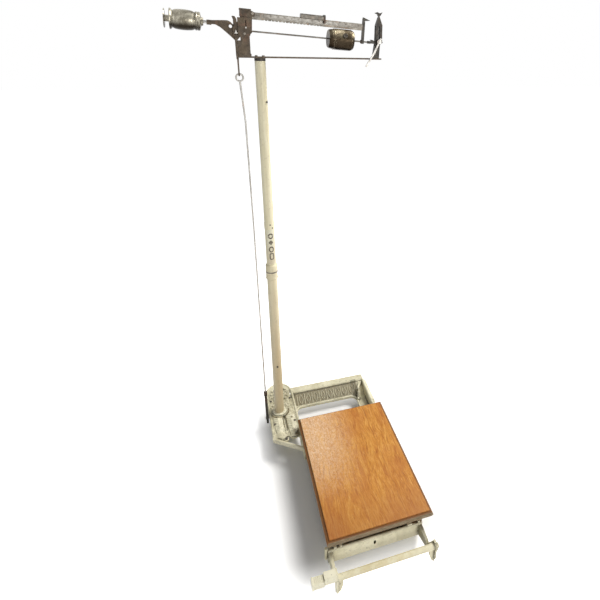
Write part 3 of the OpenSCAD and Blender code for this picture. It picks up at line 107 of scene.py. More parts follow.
# Materials
class Finish:
    """A procedural material; places are the object's own, in metres."""

    def __init__(self, name):
        self.material = bpy.data.materials.new(name)
        self.material.use_nodes = True
        self.tree = self.material.node_tree
        self.tree.nodes.clear()
        self.shader = self.node("ShaderNodeBsdfPrincipled")
        output = self.node("ShaderNodeOutputMaterial")
        self.tree.links.new(self.shader.outputs["BSDF"], output.inputs["Surface"])
        self.place = self.node("ShaderNodeTexCoord").outputs["Object"]

    def node(self, kind, **settings):
        made = self.tree.nodes.new(kind)
        for key, value in settings.items():
            setattr(made, key, value)
        return made

    def feed(self, socket, value):
        """Links a socket or sets its value; a colour of three numbers gets an alpha of 1."""
        if isinstance(value, bpy.types.NodeSocket):
            self.tree.links.new(value, socket)
        elif isinstance(value, tuple) and len(value) == 3 and len(socket.default_value) == 4:
            socket.default_value = (*value, 1)
        else:
            socket.default_value = value

    def set(self, **sockets):
        for key, value in sockets.items():
            self.feed(self.shader.inputs[key.replace("_", " ")], value)

    def beam_place(self):
        """Places in the beam's own frame, in metres."""
        mapping = self.node("ShaderNodeMapping", vector_type="TEXTURE")
        self.feed(mapping.inputs["Vector"], self.place)
        mapping.inputs["Location"].default_value = FULCRUM
        mapping.inputs["Rotation"].default_value = (0, DROOP, 0)
        return mapping.outputs["Vector"]

    def stretched(self, x, y, z, place=None):
        mapping = self.node("ShaderNodeMapping")
        self.feed(mapping.inputs["Vector"], place or self.place)
        mapping.inputs["Scale"].default_value = (x, y, z)
        return mapping.outputs["Vector"]

    def noise(self, scale, detail=4.0, rough=0.55, warp=0.0, place=None):
        made = self.node("ShaderNodeTexNoise")
        self.feed(made.inputs["Vector"], place or self.place)
        made.inputs["Scale"].default_value = scale
        made.inputs["Detail"].default_value = detail
        made.inputs["Roughness"].default_value = rough
        made.inputs["Distortion"].default_value = warp
        return made.outputs["Fac"]

    def patches(self, noise, low, high, *levels):
        """Noise of the given settings, cut between two levels so that it stands in patches."""
        return self.span(self.noise(*noise), low, high, *levels)

    def ramp(self, value, *stops):
        made = self.node("ShaderNodeValToRGB")
        self.feed(made.inputs["Fac"], value)
        points = made.color_ramp.elements
        while len(points) < len(stops):
            points.new(0.5)
        for point, (place, colour) in zip(points, stops):
            point.position = place
            point.color = (*colour, 1)
        return made.outputs["Color"]

    def mix(self, share, first, second):
        made = self.node("ShaderNodeMix", data_type="RGBA")
        self.feed(made.inputs["Factor"], share)
        self.feed(made.inputs[6], first)
        self.feed(made.inputs[7], second)
        return made.outputs[2]

    def cover(self, under, over, share, strength=None):
        """Lays one colour over another by a share, weakened to a strength where one is given."""
        return self.mix(share if strength is None else self.times(share, strength), under, over)

    def math(self, how, first, second=0.0, clamp=False):
        made = self.node("ShaderNodeMath", operation=how, use_clamp=clamp)
        self.feed(made.inputs[0], first)
        self.feed(made.inputs[1], second)
        return made.outputs[0]

    def times(self, first, second):
        """A product held between 0 and 1."""
        return self.math("MULTIPLY", first, second, True)

    def part(self, axis, place=None):
        made = self.node("ShaderNodeSeparateXYZ")
        self.feed(made.inputs[0], place or self.place)
        return made.outputs[axis]

    def span(self, value, low, high, out_low=0.0, out_high=1.0):
        """Eases from one output to the other while the value goes from low to high."""
        made = self.node("ShaderNodeMapRange", interpolation_type="SMOOTHSTEP")
        self.feed(made.inputs[0], value)
        for index, number in zip((1, 2, 3, 4), (low, high, out_low, out_high)):
            made.inputs[index].default_value = number
        return made.outputs[0]

    def zone(self, name):
        """1 inside one of the boxes above, fading out over its margin; None leaves a side open."""
        low, high, soft = ZONES[name]
        rim = soft / 1000
        share = None
        for axis, (a, b) in enumerate(zip(low, high)):
            for limit, sign in ((a, 1), (b, -1)):
                if limit is None:
                    continue
                edge = ORIGIN[axis] + limit / 1000
                one = self.span(self.part(axis), edge - sign * rim, edge + sign * rim)
                share = one if share is None else self.times(share, one)
        return share

    def worn_edge(self, radius, gain):
        """1 along outer edges, 0 on flats."""
        round_normal = self.node("ShaderNodeBevel", samples=4)
        round_normal.inputs["Radius"].default_value = radius
        shape = self.node("ShaderNodeNewGeometry")
        dot = self.node("ShaderNodeVectorMath", operation="DOT_PRODUCT")
        self.feed(dot.inputs[0], round_normal.outputs["Normal"])
        self.feed(dot.inputs[1], shape.outputs["Normal"])
        away = self.math("SUBTRACT", 1.0, dot.outputs["Value"])
        return self.span(away, 0.0, 1.0 / gain)

    def recess_dirt_and_shade(self, distance, gain):
        """1 in recesses, 0 in the open, from ambient occlusion: a mask for dirt and painted shade.
        """
        shade = self.node("ShaderNodeAmbientOcclusion", samples=6, only_local=True)
        shade.inputs["Distance"].default_value = distance
        return self.times(self.math("SUBTRACT", 1.0, shade.outputs["AO"]), gain)

    def bump(self, height, strength, depth, rounding=0.0):
        made = self.node("ShaderNodeBump")
        self.feed(made.inputs["Height"], height)
        made.inputs["Strength"].default_value = strength
        made.inputs["Distance"].default_value = depth
        if rounding:
            soft = self.node("ShaderNodeBevel", samples=4)
            soft.inputs["Radius"].default_value = rounding
            self.feed(made.inputs["Normal"], soft.outputs["Normal"])
        return made.outputs["Normal"]


def scaled(colour, factor, lift=0.0):
    return tuple(min(1, v * factor + lift) for v in colour)


def cream_enamel():
    """Old cream paint on castings: dirt and painted shade in the recesses, painted shade on the
    corner rib and the front right arm, painted highlights on the leaves, collar and pedal shoe,
    rubbed bright on the beads.
    """
    f = Finish("cream_enamel")
    cloud = f.noise(17, 5, 0.62, 0.5)
    colour = f.mix(f.span(cloud, 0.34, 0.66), (0.66, 0.61, 0.42), (0.86, 0.81, 0.60))
    blotch = f.patches((48, 5, 0.7, 0.8), 0.52, 0.66)
    colour = f.cover(colour, (0.45, 0.40, 0.235), blotch, 0.35)

    # Foot plate: painted highlights on the leaves and collar, mottled behind the column
    leaves = f.zone("leaves")
    colour = f.cover(colour, (0.93, 0.885, 0.68), leaves, 0.65)
    mottle = f.times(f.zone("plate"), f.patches((125, 4, 0.7, 0.5), 0.47, 0.60))
    behind = f.span(f.part("Y"), at(0, 536, 0).y, at(0, 560, 0).y, 0.18, 0.85)
    colour = f.cover(colour, (0.34, 0.29, 0.165), mottle, behind)
    collar = f.zone("collar")
    colour = f.cover(colour, (0.93, 0.89, 0.69), collar, 0.9)

    # Painted shade on the rib in the rear right corner, and the front shaft with its golden stain
    colour = f.cover(colour, (0.14, 0.125, 0.065), f.zone("brace"), 0.75)
    colour = f.cover(colour, (0.72, 0.66, 0.45), f.zone("shaft"), 0.6)
    golden = f.times(f.zone("golden"), f.patches((36, 5, 0.7), 0.38, 0.6))
    colour = f.cover(colour, (0.55, 0.41, 0.15), golden, 0.6)

    # Sloping rear panel: a darker ground, lighter on what stands out of it
    over = f.node("ShaderNodeVectorMath", operation="DOT_PRODUCT")
    f.feed(over.inputs[0], f.place)
    over.inputs[1].default_value = PANEL_OUT
    level = PANEL_FOOT.dot(PANEL_OUT)
    raised = f.span(over.outputs["Value"], level + 0.0006, level + 0.0018)
    panel = f.times(f.zone("panel"), f.math("SUBTRACT", 1.0, f.times(raised, 0.8)))
    colour = f.cover(colour, (0.20, 0.165, 0.095), panel, f.span(cloud, 0.2, 0.8, 0.75, 0.95))

    # Painted shade on the front right arm and its bearing, and a stain on the bay under the column
    colour = f.cover(colour, (0.17, 0.152, 0.085), f.zone("right_arm"), 0.75)
    colour = f.cover(colour, (0.19, 0.17, 0.10), f.zone("bearing"), 0.6)
    stain = f.patches((70, 5, 0.68, 0.8), 0.42, 0.62, 0.0, 0.45)
    colour = f.cover(colour, (0.34, 0.31, 0.185), f.zone("bay"), stain)

    # Dirt and painted shade in wide and narrow recesses, less of both on the leaves, collar, pedal
    # shoe and inner rear corner
    shoe = f.zone("shoe")
    rear = f.math("MAXIMUM", leaves, collar)
    less_dirt_and_shade = f.math("MAXIMUM", rear, f.math("MAXIMUM", shoe, f.zone("inner")))
    wide = f.math("ADD", f.recess_dirt_and_shade(0.012, 1.9), f.patches((60, 4), 0.3, 0.8, -0.20, 0.22))
    wide = f.math("SUBTRACT", wide, f.times(less_dirt_and_shade, 0.45))
    colour = f.cover(colour, (0.098, 0.082, 0.038), f.span(wide, 0.20, 0.85))
    narrow = f.math("SUBTRACT", f.recess_dirt_and_shade(0.0035, 2.2), f.times(shoe, 0.5))
    colour = f.cover(colour, (0.085, 0.068, 0.030), f.span(narrow, 0.25, 0.85, 0.0, 0.85))
    # Painted highlight on the pedal shoe
    colour = f.cover(colour, (0.92, 0.89, 0.72), shoe, 0.5)

    # Wear: rubbed edges, specks and chips
    rubbed = f.times(f.worn_edge(0.0020, 5.0), f.patches((42, 4, 0.7), 0.22, 0.48))
    colour = f.cover(colour, (0.93, 0.90, 0.70), rubbed)
    speck = f.patches((150, 4, 0.72), 0.60, 0.70)
    colour = f.cover(colour, (0.26, 0.21, 0.12), speck, 0.6)
    chips = f.patches((78, 6, 0.72, 0.3), 0.655, 0.672)
    colour = f.cover(colour, (0.13, 0.09, 0.045), chips)
    rough = f.patches((90, 3), 0.2, 0.8, 0.32, 0.58)
    height = f.math("ADD", f.times(f.noise(55, 5, 0.6), 0.7), f.times(f.noise(260, 3), 0.3))
    f.set(Base_Color=colour, Roughness=rough, Normal=f.bump(height, 0.55, 0.0008, 0.001))
    return f.material


def column_enamel():
    """Cream paint on the tubes, browner towards the foot."""
    f = Finish("column_enamel")
    streak = f.noise(1.0, 5, 0.6, 0.4, f.stretched(75, 75, 5))
    colour = f.mix(f.span(streak, 0.35, 0.68), (0.80, 0.73, 0.495), (0.93, 0.865, 0.63))
    foot = f.span(f.part("Z"), 0.1, 0.95, 0.95, 0.0)
    colour = f.cover(colour, (0.55, 0.445, 0.265), foot)
    band = f.patches((1.0, 3, 0.5, 0.0, f.stretched(90, 90, 1.2)), 0.42, 0.62)
    colour = f.cover(colour, (0.66, 0.57, 0.39), f.times(band, foot), 0.45)
    colour = f.cover(colour, (0.38, 0.30, 0.17), f.patches((60, 5, 0.7), 0.58, 0.70), 0.35)
    colour = f.cover(colour, (0.30, 0.24, 0.14), f.patches((190, 4, 0.7), 0.60, 0.72), 0.5)
    # Dirt and painted shade in the recesses
    colour = f.cover(colour, (0.17, 0.135, 0.07), f.span(f.recess_dirt_and_shade(0.006, 1.6), 0.3, 0.9))
    rubbed = f.times(f.worn_edge(0.0010, 4.0), f.patches((60, 4, 0.7), 0.3, 0.6))
    colour = f.cover(colour, (0.84, 0.79, 0.60), rubbed, 0.7)
    f.set(Base_Color=colour, Roughness=f.patches((60, 4), 0.25, 0.75, 0.30, 0.5))
    f.set(Normal=f.bump(f.noise(110, 4), 0.3, 0.0004, 0.0005))
    return f.material


def label_paper():
    """Aged printed label: pale at the head, pinker at the foot, with brown foxing."""
    f = Finish("label_paper")
    colour = f.mix(f.span(f.part("Z"), 0.705, 0.80), (0.74, 0.66, 0.48), (0.83, 0.80, 0.62))
    colour = f.cover(colour, (0.62, 0.52, 0.32), f.patches((95, 5, 0.7, 0.5), 0.48, 0.66), 0.5)
    colour = f.cover(colour, (0.35, 0.26, 0.13), f.patches((260, 4, 0.7), 0.58, 0.70), 0.45)
    f.set(Base_Color=colour, Roughness=f.patches((70, 3), 0.3, 0.7, 0.38, 0.55))
    f.set(Normal=f.bump(f.noise(240, 4), 0.3, 0.0002))
    return f.material


def printed_ink():
    """Dark brown ink, thin in places."""
    f = Finish("printed_ink")
    cloud = f.patches((120, 5, 0.7), 0.35, 0.62)
    colour = f.mix(cloud, (0.035, 0.024, 0.012), (0.10, 0.075, 0.038))
    colour = f.cover(colour, (0.38, 0.32, 0.20), f.patches((420, 4, 0.7), 0.60, 0.72))
    f.set(Base_Color=colour, Roughness=f.patches((90, 3), 0.3, 0.7, 0.42, 0.6))
    f.set(Normal=f.bump(f.noise(300, 3), 0.2, 0.0001))
    return f.material


def scale_band():
    """Pale filled band on the bar's face, rubbed grey at its ends."""
    f = Finish("scale_band")
    along = f.part("X", f.beam_place())
    pale = f.times(f.span(along, 0.05, 0.09), f.span(along, 0.335, 0.24))
    colour = f.mix(pale, (0.27, 0.245, 0.21), (0.42, 0.40, 0.36))
    grime = f.patches((110, 5, 0.7, 0.5), 0.46, 0.64)
    colour = f.cover(colour, (0.20, 0.172, 0.140), grime, 0.6)
    colour = f.cover(colour, (0.075, 0.055, 0.040), f.patches((300, 4, 0.7), 0.56, 0.70), 0.5)
    f.set(Base_Color=colour, Metallic=0.25, Roughness=f.patches((90, 3), 0.3, 0.7, 0.32, 0.5))
    f.set(Normal=f.bump(f.noise(260, 4), 0.3, 0.0002))
    return f.material


def cast_metal(name, base, light, shade, metal, rough, spots=0.5, warm=None):
    """Handled iron, steel or plating: cloudy, spotted, bright on its edges, with dirt and painted
    shade in its recesses.
    """
    f = Finish(name)
    colour = f.mix(f.patches((40, 5, 0.64, 0.6), 0.36, 0.64), base, light)
    if warm:
        colour = f.cover(colour, warm, f.patches((26, 5, 0.7, 1.0), 0.50, 0.66), 0.7)
    colour = f.cover(colour, shade, f.patches((150, 5, 0.7), 0.54, 0.70), spots)
    rubbed = f.times(f.worn_edge(0.0009, 4.0), f.patches((70, 4, 0.7), 0.3, 0.6, 0.25, 0.85))
    colour = f.cover(colour, scaled(light, 1.8, 0.05), rubbed)
    # Dirt and painted shade in the recesses
    colour = f.cover(colour, scaled(shade, 0.7), f.span(f.recess_dirt_and_shade(0.006, 1.4), 0.3, 1.0))
    f.set(Base_Color=colour, Metallic=metal, Roughness=f.patches((80, 4), 0.25, 0.75, *rough))
    f.set(Normal=f.bump(f.noise(210, 4, 0.6), 0.35, 0.0004, 0.0005))
    return f.material


def threaded_steel():
    """Tarnished steel, with screw threads showing on the counterweight's spindle, their roots
    darkened with painted shade.
    """
    f = Finish("tarnished_steel")
    beam = f.beam_place()
    cloud = f.patches((50, 5, 0.64, 0.6), 0.36, 0.64)
    colour = f.mix(cloud, (0.075, 0.064, 0.052), (0.17, 0.15, 0.125))
    thread_pitch = 0.00125
    wave = f.math("SINE", f.math("MULTIPLY", f.part("X", beam), 2 * math.pi / thread_pitch))
    spindle = f.span(f.part("X", beam), -0.093, -0.095)
    # Painted shade in the roots of the thread
    thread_root_shade = f.times(f.span(wave, -0.2, -0.9), spindle)
    colour = f.cover(colour, (0.018, 0.014, 0.010), thread_root_shade, 0.85)
    colour = f.cover(colour, (0.10, 0.055, 0.028), f.patches((160, 5, 0.7), 0.55, 0.70), 0.5)
    colour = f.cover(colour, (0.40, 0.37, 0.32), f.worn_edge(0.0008, 4.0), 0.7)
    f.set(Base_Color=colour, Metallic=0.85, Roughness=f.patches((80, 4), 0.25, 0.75, 0.28, 0.48))
    grain, thread = f.times(f.noise(220, 4, 0.6), 0.3), f.times(spindle, 0.7)
    height = f.math("ADD", grain, f.math("MULTIPLY", wave, thread))
    f.set(Normal=f.bump(height, 0.5, 0.0003, 0.0004))
    return f.material


def turned_metal(name, base, light, shade, rough, patina, under):
    """Metal turned on the beam's direction: fine rings, patina, painted shade on its underside."""
    f = Finish(name)
    beam = f.beam_place()
    rings = f.noise(1.0, 3, 0.6, 0.0, f.stretched(1500, 60, 60, beam))
    cloud = f.noise(32, 5, 0.65, 0.9)
    colour = f.mix(f.span(cloud, 0.36, 0.62), base, light)
    # Painted shade on the underside, below the heights given in under
    colour = f.cover(colour, shade, f.span(f.part("Z", beam), *under), 0.97)
    spots = f.times(f.patches((75, 6, 0.75, 0.8), 0.5, 0.64), patina)
    colour = f.cover(colour, shade, spots)
    along = f.part("X", beam)
    groove_line = f.times(f.span(along, 0.2375, 0.2385), f.span(along, 0.2485, 0.2475))
    colour = f.cover(colour, shade, groove_line, 0.7)
    rubbed = f.times(f.worn_edge(0.0008, 4.0), f.patches((60, 4, 0.7), 0.3, 0.6, 0.3, 0.8))
    colour = f.cover(colour, scaled(light, 1.5, 0.05), rubbed)
    # Dirt and painted shade in the recesses
    colour = f.cover(colour, scaled(shade, 0.4), f.span(f.recess_dirt_and_shade(0.006, 1.3), 0.25, 0.9))
    dull = f.math("ADD", f.span(cloud, 0.3, 0.7, *rough), f.math("MULTIPLY", spots, 0.25))
    f.set(Base_Color=colour, Metallic=0.9, Roughness=dull)
    f.set(Normal=f.bump(rings, 0.25, 0.0003, 0.0004))
    return f.material


def groove_dirt_and_shade():
    """Dark olive sheet in the foot plate's grooves and in its shadowed spots: dirt and painted
    shade.
    """
    f = Finish("groove_dirt_and_shade")
    cloud = f.patches((85, 5, 0.7, 0.4), 0.36, 0.62)
    colour = f.mix(cloud, (0.095, 0.078, 0.040), (0.29, 0.245, 0.14))
    f.set(Base_Color=colour, Roughness=0.7)
    return f.material


def oak_board():
    """Varnished oak planks, grain from front to back, with painted shade towards the front, a
    painted sheen on the rear left corner and a darker front left corner.
    """
    f = Finish("varnished_board")

    # Places leaned to and fro, so that the grain bends
    lean = f.math("MULTIPLY", f.math("SUBTRACT", f.noise(5, 3, 0.5), 0.5), 0.05)
    turned = f.node("ShaderNodeCombineXYZ")
    f.feed(turned.inputs[0], f.math("ADD", f.part("X"), lean))
    f.feed(turned.inputs[1], f.part("Y"))
    f.feed(turned.inputs[2], f.part("Z"))
    place = turned.outputs[0]

    # Grain: flame, streaks, pores and wide cloud
    flame = f.noise(3.2, 7, 0.66, 1.4, f.stretched(26, 3.4, 26, place))
    colour = f.ramp(
        flame,
        (0.26, (0.33, 0.095, 0.010)),
        (0.42, (0.51, 0.185, 0.020)),
        (0.54, (0.62, 0.262, 0.036)),
        (0.72, (0.76, 0.40, 0.088)),
    )
    streak = f.noise(1.0, 6, 0.7, 0.8, f.stretched(300, 34, 300, place))
    colour = f.cover(colour, (0.78, 0.42, 0.115), f.span(streak, 0.50, 0.66), 0.60)
    colour = f.cover(colour, (0.30, 0.085, 0.010), f.span(streak, 0.46, 0.34), 0.60)
    pores = f.noise(1.0, 5, 0.7, 0.3, f.stretched(1000, 85, 1000, place))
    colour = f.cover(colour, (0.24, 0.075, 0.012), f.span(pores, 0.55, 0.66), 0.55)
    wide = f.noise(7, 4, 0.6, 0.8, f.stretched(1.6, 0.8, 1, place))
    colour = f.cover(colour, (0.46, 0.15, 0.028), f.span(wide, 0.46, 0.66), 0.35)

    # Painted shade towards the front, a painted sheen on the rear left corner, a darker front left
    # corner
    x, y = f.part("X"), f.part("Y")
    front = f.span(y, at(0, 150, 0).y, at(0, -10, 0).y, 0.0, 0.42)
    colour = f.cover(colour, (0.34, 0.115, 0.016), front)
    corner = f.times(
        f.span(x, ORIGIN.x + 0.19, ORIGIN.x + 0.02),
        f.span(y, ORIGIN.y + 0.08, ORIGIN.y + 0.36),
    )
    sheen_flecks = f.patches((1.0, 5, 0.75, 1.2, f.stretched(240, 110, 240, place)), 0.44, 0.58)
    colour = f.cover(colour, (0.93, 0.78, 0.60), f.times(corner, sheen_flecks), 0.75)
    colour = f.cover(colour, (0.86, 0.56, 0.31), corner, 0.42)
    front_left_dark = f.times(
        f.span(x, ORIGIN.x + 0.09, ORIGIN.x),
        f.span(y, ORIGIN.y + 0.16, ORIGIN.y),
    )
    colour = f.cover(colour, (0.33, 0.10, 0.022), front_left_dark, 0.45)

    # Joints between the planks, and the rim
    planks_per_metre, first_joint = 9.6, 4.33
    plank = f.math("ADD", f.math("MULTIPLY", x, planks_per_metre), first_joint)
    joint = f.math("ABSOLUTE", f.math("SUBTRACT", f.math("FRACT", plank), 0.5))
    colour = f.cover(colour, (0.20, 0.07, 0.015), f.span(joint, 0.008, 0.0, 0.0, 0.45))
    colour = f.cover(colour, (0.24, 0.075, 0.016), f.worn_edge(0.0035, 3.5), 0.7)
    height = f.math("ADD", f.times(pores, 0.5), f.times(streak, 0.5))
    rough = f.patches((40, 4), 0.3, 0.7, 0.28, 0.44)
    f.set(Base_Color=colour, Roughness=rough, Specular_IOR_Level=0.35)
    f.set(Normal=f.bump(height, 0.6, 0.0007, 0.0012))
    return f.material


def edge_strip():
    """Moulding round the board: red-brown along its sides, bare grey-brown at front and back."""
    f = Finish("edge_strip")
    lines = f.noise(1.0, 5, 0.65, 0.3, f.stretched(20, 20, 650))
    grain = f.noise(1.0, 5, 0.7, 0.6, f.stretched(45, 45, 420))
    red = f.mix(f.span(lines, 0.32, 0.68), (0.19, 0.070, 0.015), (0.36, 0.160, 0.040))
    grey = f.mix(f.span(grain, 0.34, 0.66), (0.15, 0.108, 0.058), (0.31, 0.24, 0.15))
    ends = f.math("ABSOLUTE", f.part("Y", f.node("ShaderNodeTexCoord").outputs["Normal"]))
    colour = f.mix(f.span(ends, 0.45, 0.75), red, grey)
    height = f.part("Z")
    top = f.span(height, ORIGIN.z - 0.0050, ORIGIN.z - 0.0030)
    colour = f.cover(colour, (0.115, 0.046, 0.013), top, 0.8)
    foot = f.span(height, ORIGIN.z - 0.0185, ORIGIN.z - 0.0215)
    colour = f.cover(colour, (0.045, 0.026, 0.014), foot, 0.8)
    # Dirt and painted shade in the recesses
    colour = f.cover(colour, (0.028, 0.012, 0.006), f.span(f.recess_dirt_and_shade(0.006, 1.5), 0.3, 0.9))
    rubbed = f.times(f.worn_edge(0.0011, 4), f.patches((60, 4, 0.7), 0.35, 0.6, 0.1, 0.65))
    colour = f.cover(colour, (0.40, 0.26, 0.15), rubbed)
    rough = f.patches((70, 3), 0.2, 0.8, 0.42, 0.62)
    f.set(Base_Color=colour, Roughness=rough, Specular_IOR_Level=0.25)
    f.set(Normal=f.bump(lines, 0.4, 0.0004, 0.0005))
    return f.material


# For metals: main, light and dark colour, how metallic, roughness from and to
FINISHES = {
    "cream_paint": cream_enamel(),
    "column_paint": column_enamel(),
    "dark_iron": cast_metal(
        "dark_iron", (0.020, 0.017, 0.013), (0.050, 0.044, 0.034), (0.008, 0.007, 0.005),
        0.35, (0.36, 0.58), warm=(0.11, 0.055, 0.030),
    ),
    "grey_iron": cast_metal(
        "brown_grey_iron", (0.040, 0.026, 0.014), (0.098, 0.070, 0.041), (0.014, 0.009, 0.004),
        0.30, (0.40, 0.62), warm=(0.135, 0.072, 0.042),
    ),
    "dark_steel": threaded_steel(),
    "bright_steel": cast_metal(
        "ground_steel", (0.24, 0.23, 0.215), (0.42, 0.41, 0.385), (0.09, 0.078, 0.062),
        0.95, (0.24, 0.42),
    ),
    "beam_nickel": cast_metal(
        "worn_nickel", (0.110, 0.099, 0.083), (0.215, 0.20, 0.172), (0.040, 0.032, 0.024),
        0.55, (0.32, 0.5), warm=(0.20, 0.135, 0.085),
    ),
    "pale_nickel": cast_metal(
        "pale_plating", (0.44, 0.42, 0.385), (0.60, 0.58, 0.54), (0.20, 0.165, 0.13),
        0.35, (0.25, 0.45), spots=0.35, warm=(0.55, 0.45, 0.38),
    ),
    # Turned metals also take patina and the heights in the beam's frame over which painted shade
    # darkens the underside
    "aged_brass": turned_metal(
        "aged_brass", (0.135, 0.098, 0.055), (0.50, 0.42, 0.28), (0.018, 0.011, 0.005),
        (0.22, 0.38), patina=0.8, under=(0.022, 0.000),
    ),
    "aged_nickel": turned_metal(
        "aged_nickel", (0.175, 0.156, 0.115), (0.45, 0.42, 0.335), (0.013, 0.009, 0.005),
        (0.20, 0.34), patina=0.45, under=(0.014, -0.004),
    ),
    "board_wood": oak_board(),
    "edge_strip": edge_strip(),
}
INK = printed_ink()
SLOT_OF = {part["node"]: part["material_slot"] for part in frame["record"]["subparts"]}
for name, node in frame["nodes"].items():
    node.data.materials.clear()
    node.data.materials.append(FINISHES[SLOT_OF[name]])


# Meshes
def make_mesh(name, points, faces, material, body, smooth=False):
    """A piece of the visual model, riding on a body and standing in a slot."""
    data = bpy.data.meshes.new(name)
    data.from_pydata([tuple(p) for p in points], [], faces)
    data.validate()
    data.update()
    for face in data.polygons:
        face.use_smooth = smooth
    made = bpy.data.objects.new(name, data)
    scene.collection.objects.link(made)
    data.materials.append(material)
    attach(made, body)


def box_points(x0, x1, y0, y1, z0, z1):
    """Points and faces of a block."""
    points = [(x, y, z) for x in (x0, x1) for y in (y0, y1) for z in (z0, z1)]
    faces = [(0, 1, 3, 2), (4, 6, 7, 5), (0, 4, 5, 1), (2, 3, 7, 6), (0, 2, 6, 4), (1, 5, 7, 3)]
    return points, faces


class Heap:
    """Gathers many small solids into one mesh."""

    def __init__(self):
        self.points, self.faces = [], []

    def add(self, points, faces, matrix=None):
        base = len(self.points)
        for p in points:
            self.points.append(tuple(matrix @ Vector(p)) if matrix else tuple(p))
        self.faces += [tuple(i + base for i in face) for face in faces]


def ridge(path, out, width, height, closed=False, sunk=0.0003):
    """A rounded rib along a path of points, standing out of the flat that it lies on."""
    count, section = len(path), 5
    points, faces = [], []
    for i, p in enumerate(path):
        before = path[i - 1] if i or closed else path[0]
        after = path[(i + 1) % count] if i + 1 < count or closed else path[i]
        side = out.cross(after - before).normalized() * width / 2
        up, down = out * height, -out * sunk
        shoulder, rise = side * 0.72, up * 0.62
        points += [p + side + down, p + shoulder + rise, p + up]
        points += [p - shoulder + rise, p - side + down]
    links = count if closed else count - 1
    for i in range(links):
        a, b = section * i, section * ((i + 1) % count)
        for k in range(section):
            following = (k + 1) % section
            faces.append((a + k, b + k, b + following, a + following))
    if not closed:
        last = section * (count - 1)
        faces.append(tuple(range(section)))
        faces.append(tuple(last + k for k in reversed(range(section))))
    return points, faces


def lettering(text, size, depth):
    """Points and faces of a short number, lying in the XZ plane and centred on its foot."""
    curve = bpy.data.curves.new("number", "FONT")
    curve.body = text
    curve.size = size
    curve.extrude = depth / 2
    curve.align_x = "CENTER"
    carrier = bpy.data.objects.new("number", curve)
    scene.collection.objects.link(carrier)
    bpy.context.view_layer.update()
    data = carrier.to_mesh()
    points = [(v.co.x, -v.co.z, v.co.y) for v in data.vertices]
    faces = [tuple(p.vertices) for p in data.polygons]
    carrier.to_mesh_clear()
    bpy.data.objects.remove(carrier)
    bpy.data.curves.remove(curve)
    return points, faces


# Pale band, strokes and numbers on the front of the graduated bar, in the beam's millimetres
BAR_FRONT = -3.0
BAND_FROM, BAND_TO, BAND_FOOT, BAND_HEAD = 44, 338, 37.2, 47.4
BAND_RAISED, BAND_SUNK = 0.06, 0.1
band = Heap()
band_box = box_points(
    BAND_FROM, BAND_TO, BAR_FRONT - BAND_RAISED, BAR_FRONT + BAND_SUNK, BAND_FOOT, BAND_HEAD
)
band.add(*band_box, BEAM @ MM)
make_mesh("bar_scale_band", band.points, band.faces, scale_band(), "beam")

FIRST_STROKE, STROKE_PITCH, STROKES = 50, 2, 141
STROKE_HALF, STROKE_FOOT, STROKE_SHORT, STROKE_TALL = 0.27, 37.6, 2.6, 4.6
STROKE_RAISED = 0.13
NUMBERS, NUMBER_PITCH, NUMBER_STEP, NUMBER_FOOT = 15, 20, 5, 43.0
NUMBER_SIZE, NUMBER_THICK, NUMBER_RAISED = 5.0, 0.12, 0.08
marks = Heap()
for i in range(STROKES):
    x = FIRST_STROKE + STROKE_PITCH * i
    top = STROKE_FOOT + (STROKE_SHORT if i % 5 else STROKE_TALL)
    stroke = box_points(
        x - STROKE_HALF, x + STROKE_HALF, BAR_FRONT - STROKE_RAISED, BAR_FRONT, STROKE_FOOT, top
    )
    marks.add(*stroke, BEAM @ MM)
for i in range(NUMBERS):
    points, faces = lettering(str(i * NUMBER_STEP), NUMBER_SIZE, NUMBER_THICK)
    foot = Vector((FIRST_STROKE + NUMBER_PITCH * i, BAR_FRONT - NUMBER_RAISED, NUMBER_FOOT))
    marks.add(points, faces, BEAM @ MM @ Matrix.Translation(foot))
make_mesh("bar_graduations", marks.points, marks.faces, INK, "beam")

# Column label: a thin sheet bent round the upper tube, with rings, a lozenge and an oblong
tube_low, tube_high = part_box("upper_tube")
TUBE = Vector(((tube_low.x + tube_high.x) / 2, (tube_low.y + tube_high.y) / 2, 0))
TUBE_R = (tube_high.x - tube_low.x) * 500


def round_tube(u, z, r):
    """u millimetres round the tube from its front, to the right, z up, r from its axis."""
    a = u / TUBE_R
    return TUBE + Vector((r * math.sin(a), -r * math.cos(a), z)) / 1000


def tube_sheet(u0, u1, z0, z1, thick, corner, steps=10, across=24, lift=0.02):
    """A bent sheet with rounded corners: rows of points across, two layers."""
    rows = []
    for j in range(2 * steps + 2):
        if j <= steps:
            a = math.pi / 2 * j / steps
            inset, z = corner * (1 - math.sin(a)), z0 + corner * (1 - math.cos(a))
        else:
            a = math.pi / 2 * (j - steps - 1) / steps
            inset, z = corner * (1 - math.cos(a)), z1 - corner * (1 - math.sin(a))
        rows.append((inset, z))
    points, faces = [], []
    for layer in (lift, thick):
        for inset, z in rows:
            for k in range(across + 1):
                u = u0 + inset + (u1 - u0 - 2 * inset) * k / across
                points.append(round_tube(u, z, TUBE_R + layer))
    wide, size = across + 1, len(rows) * (across + 1)
    for j in range(len(rows) - 1):
        for k in range(across):
            a = j * wide + k
            faces.append((a, a + wide, a + wide + 1, a + 1))
            faces.append((size + a, size + a + 1, size + a + wide + 1, size + a + wide))
        for k in (0, across):
            a, b = j * wide + k, (j + 1) * wide + k
            faces.append((a, size + a, size + b, b) if k else (a, b, size + b, size + a))
    for k in range(across):
        faces.append((k, k + 1, size + k + 1, size + k))
        a = (len(rows) - 1) * wide + k
        faces.append((a, size + a, size + a + 1, a + 1))
    return points, faces


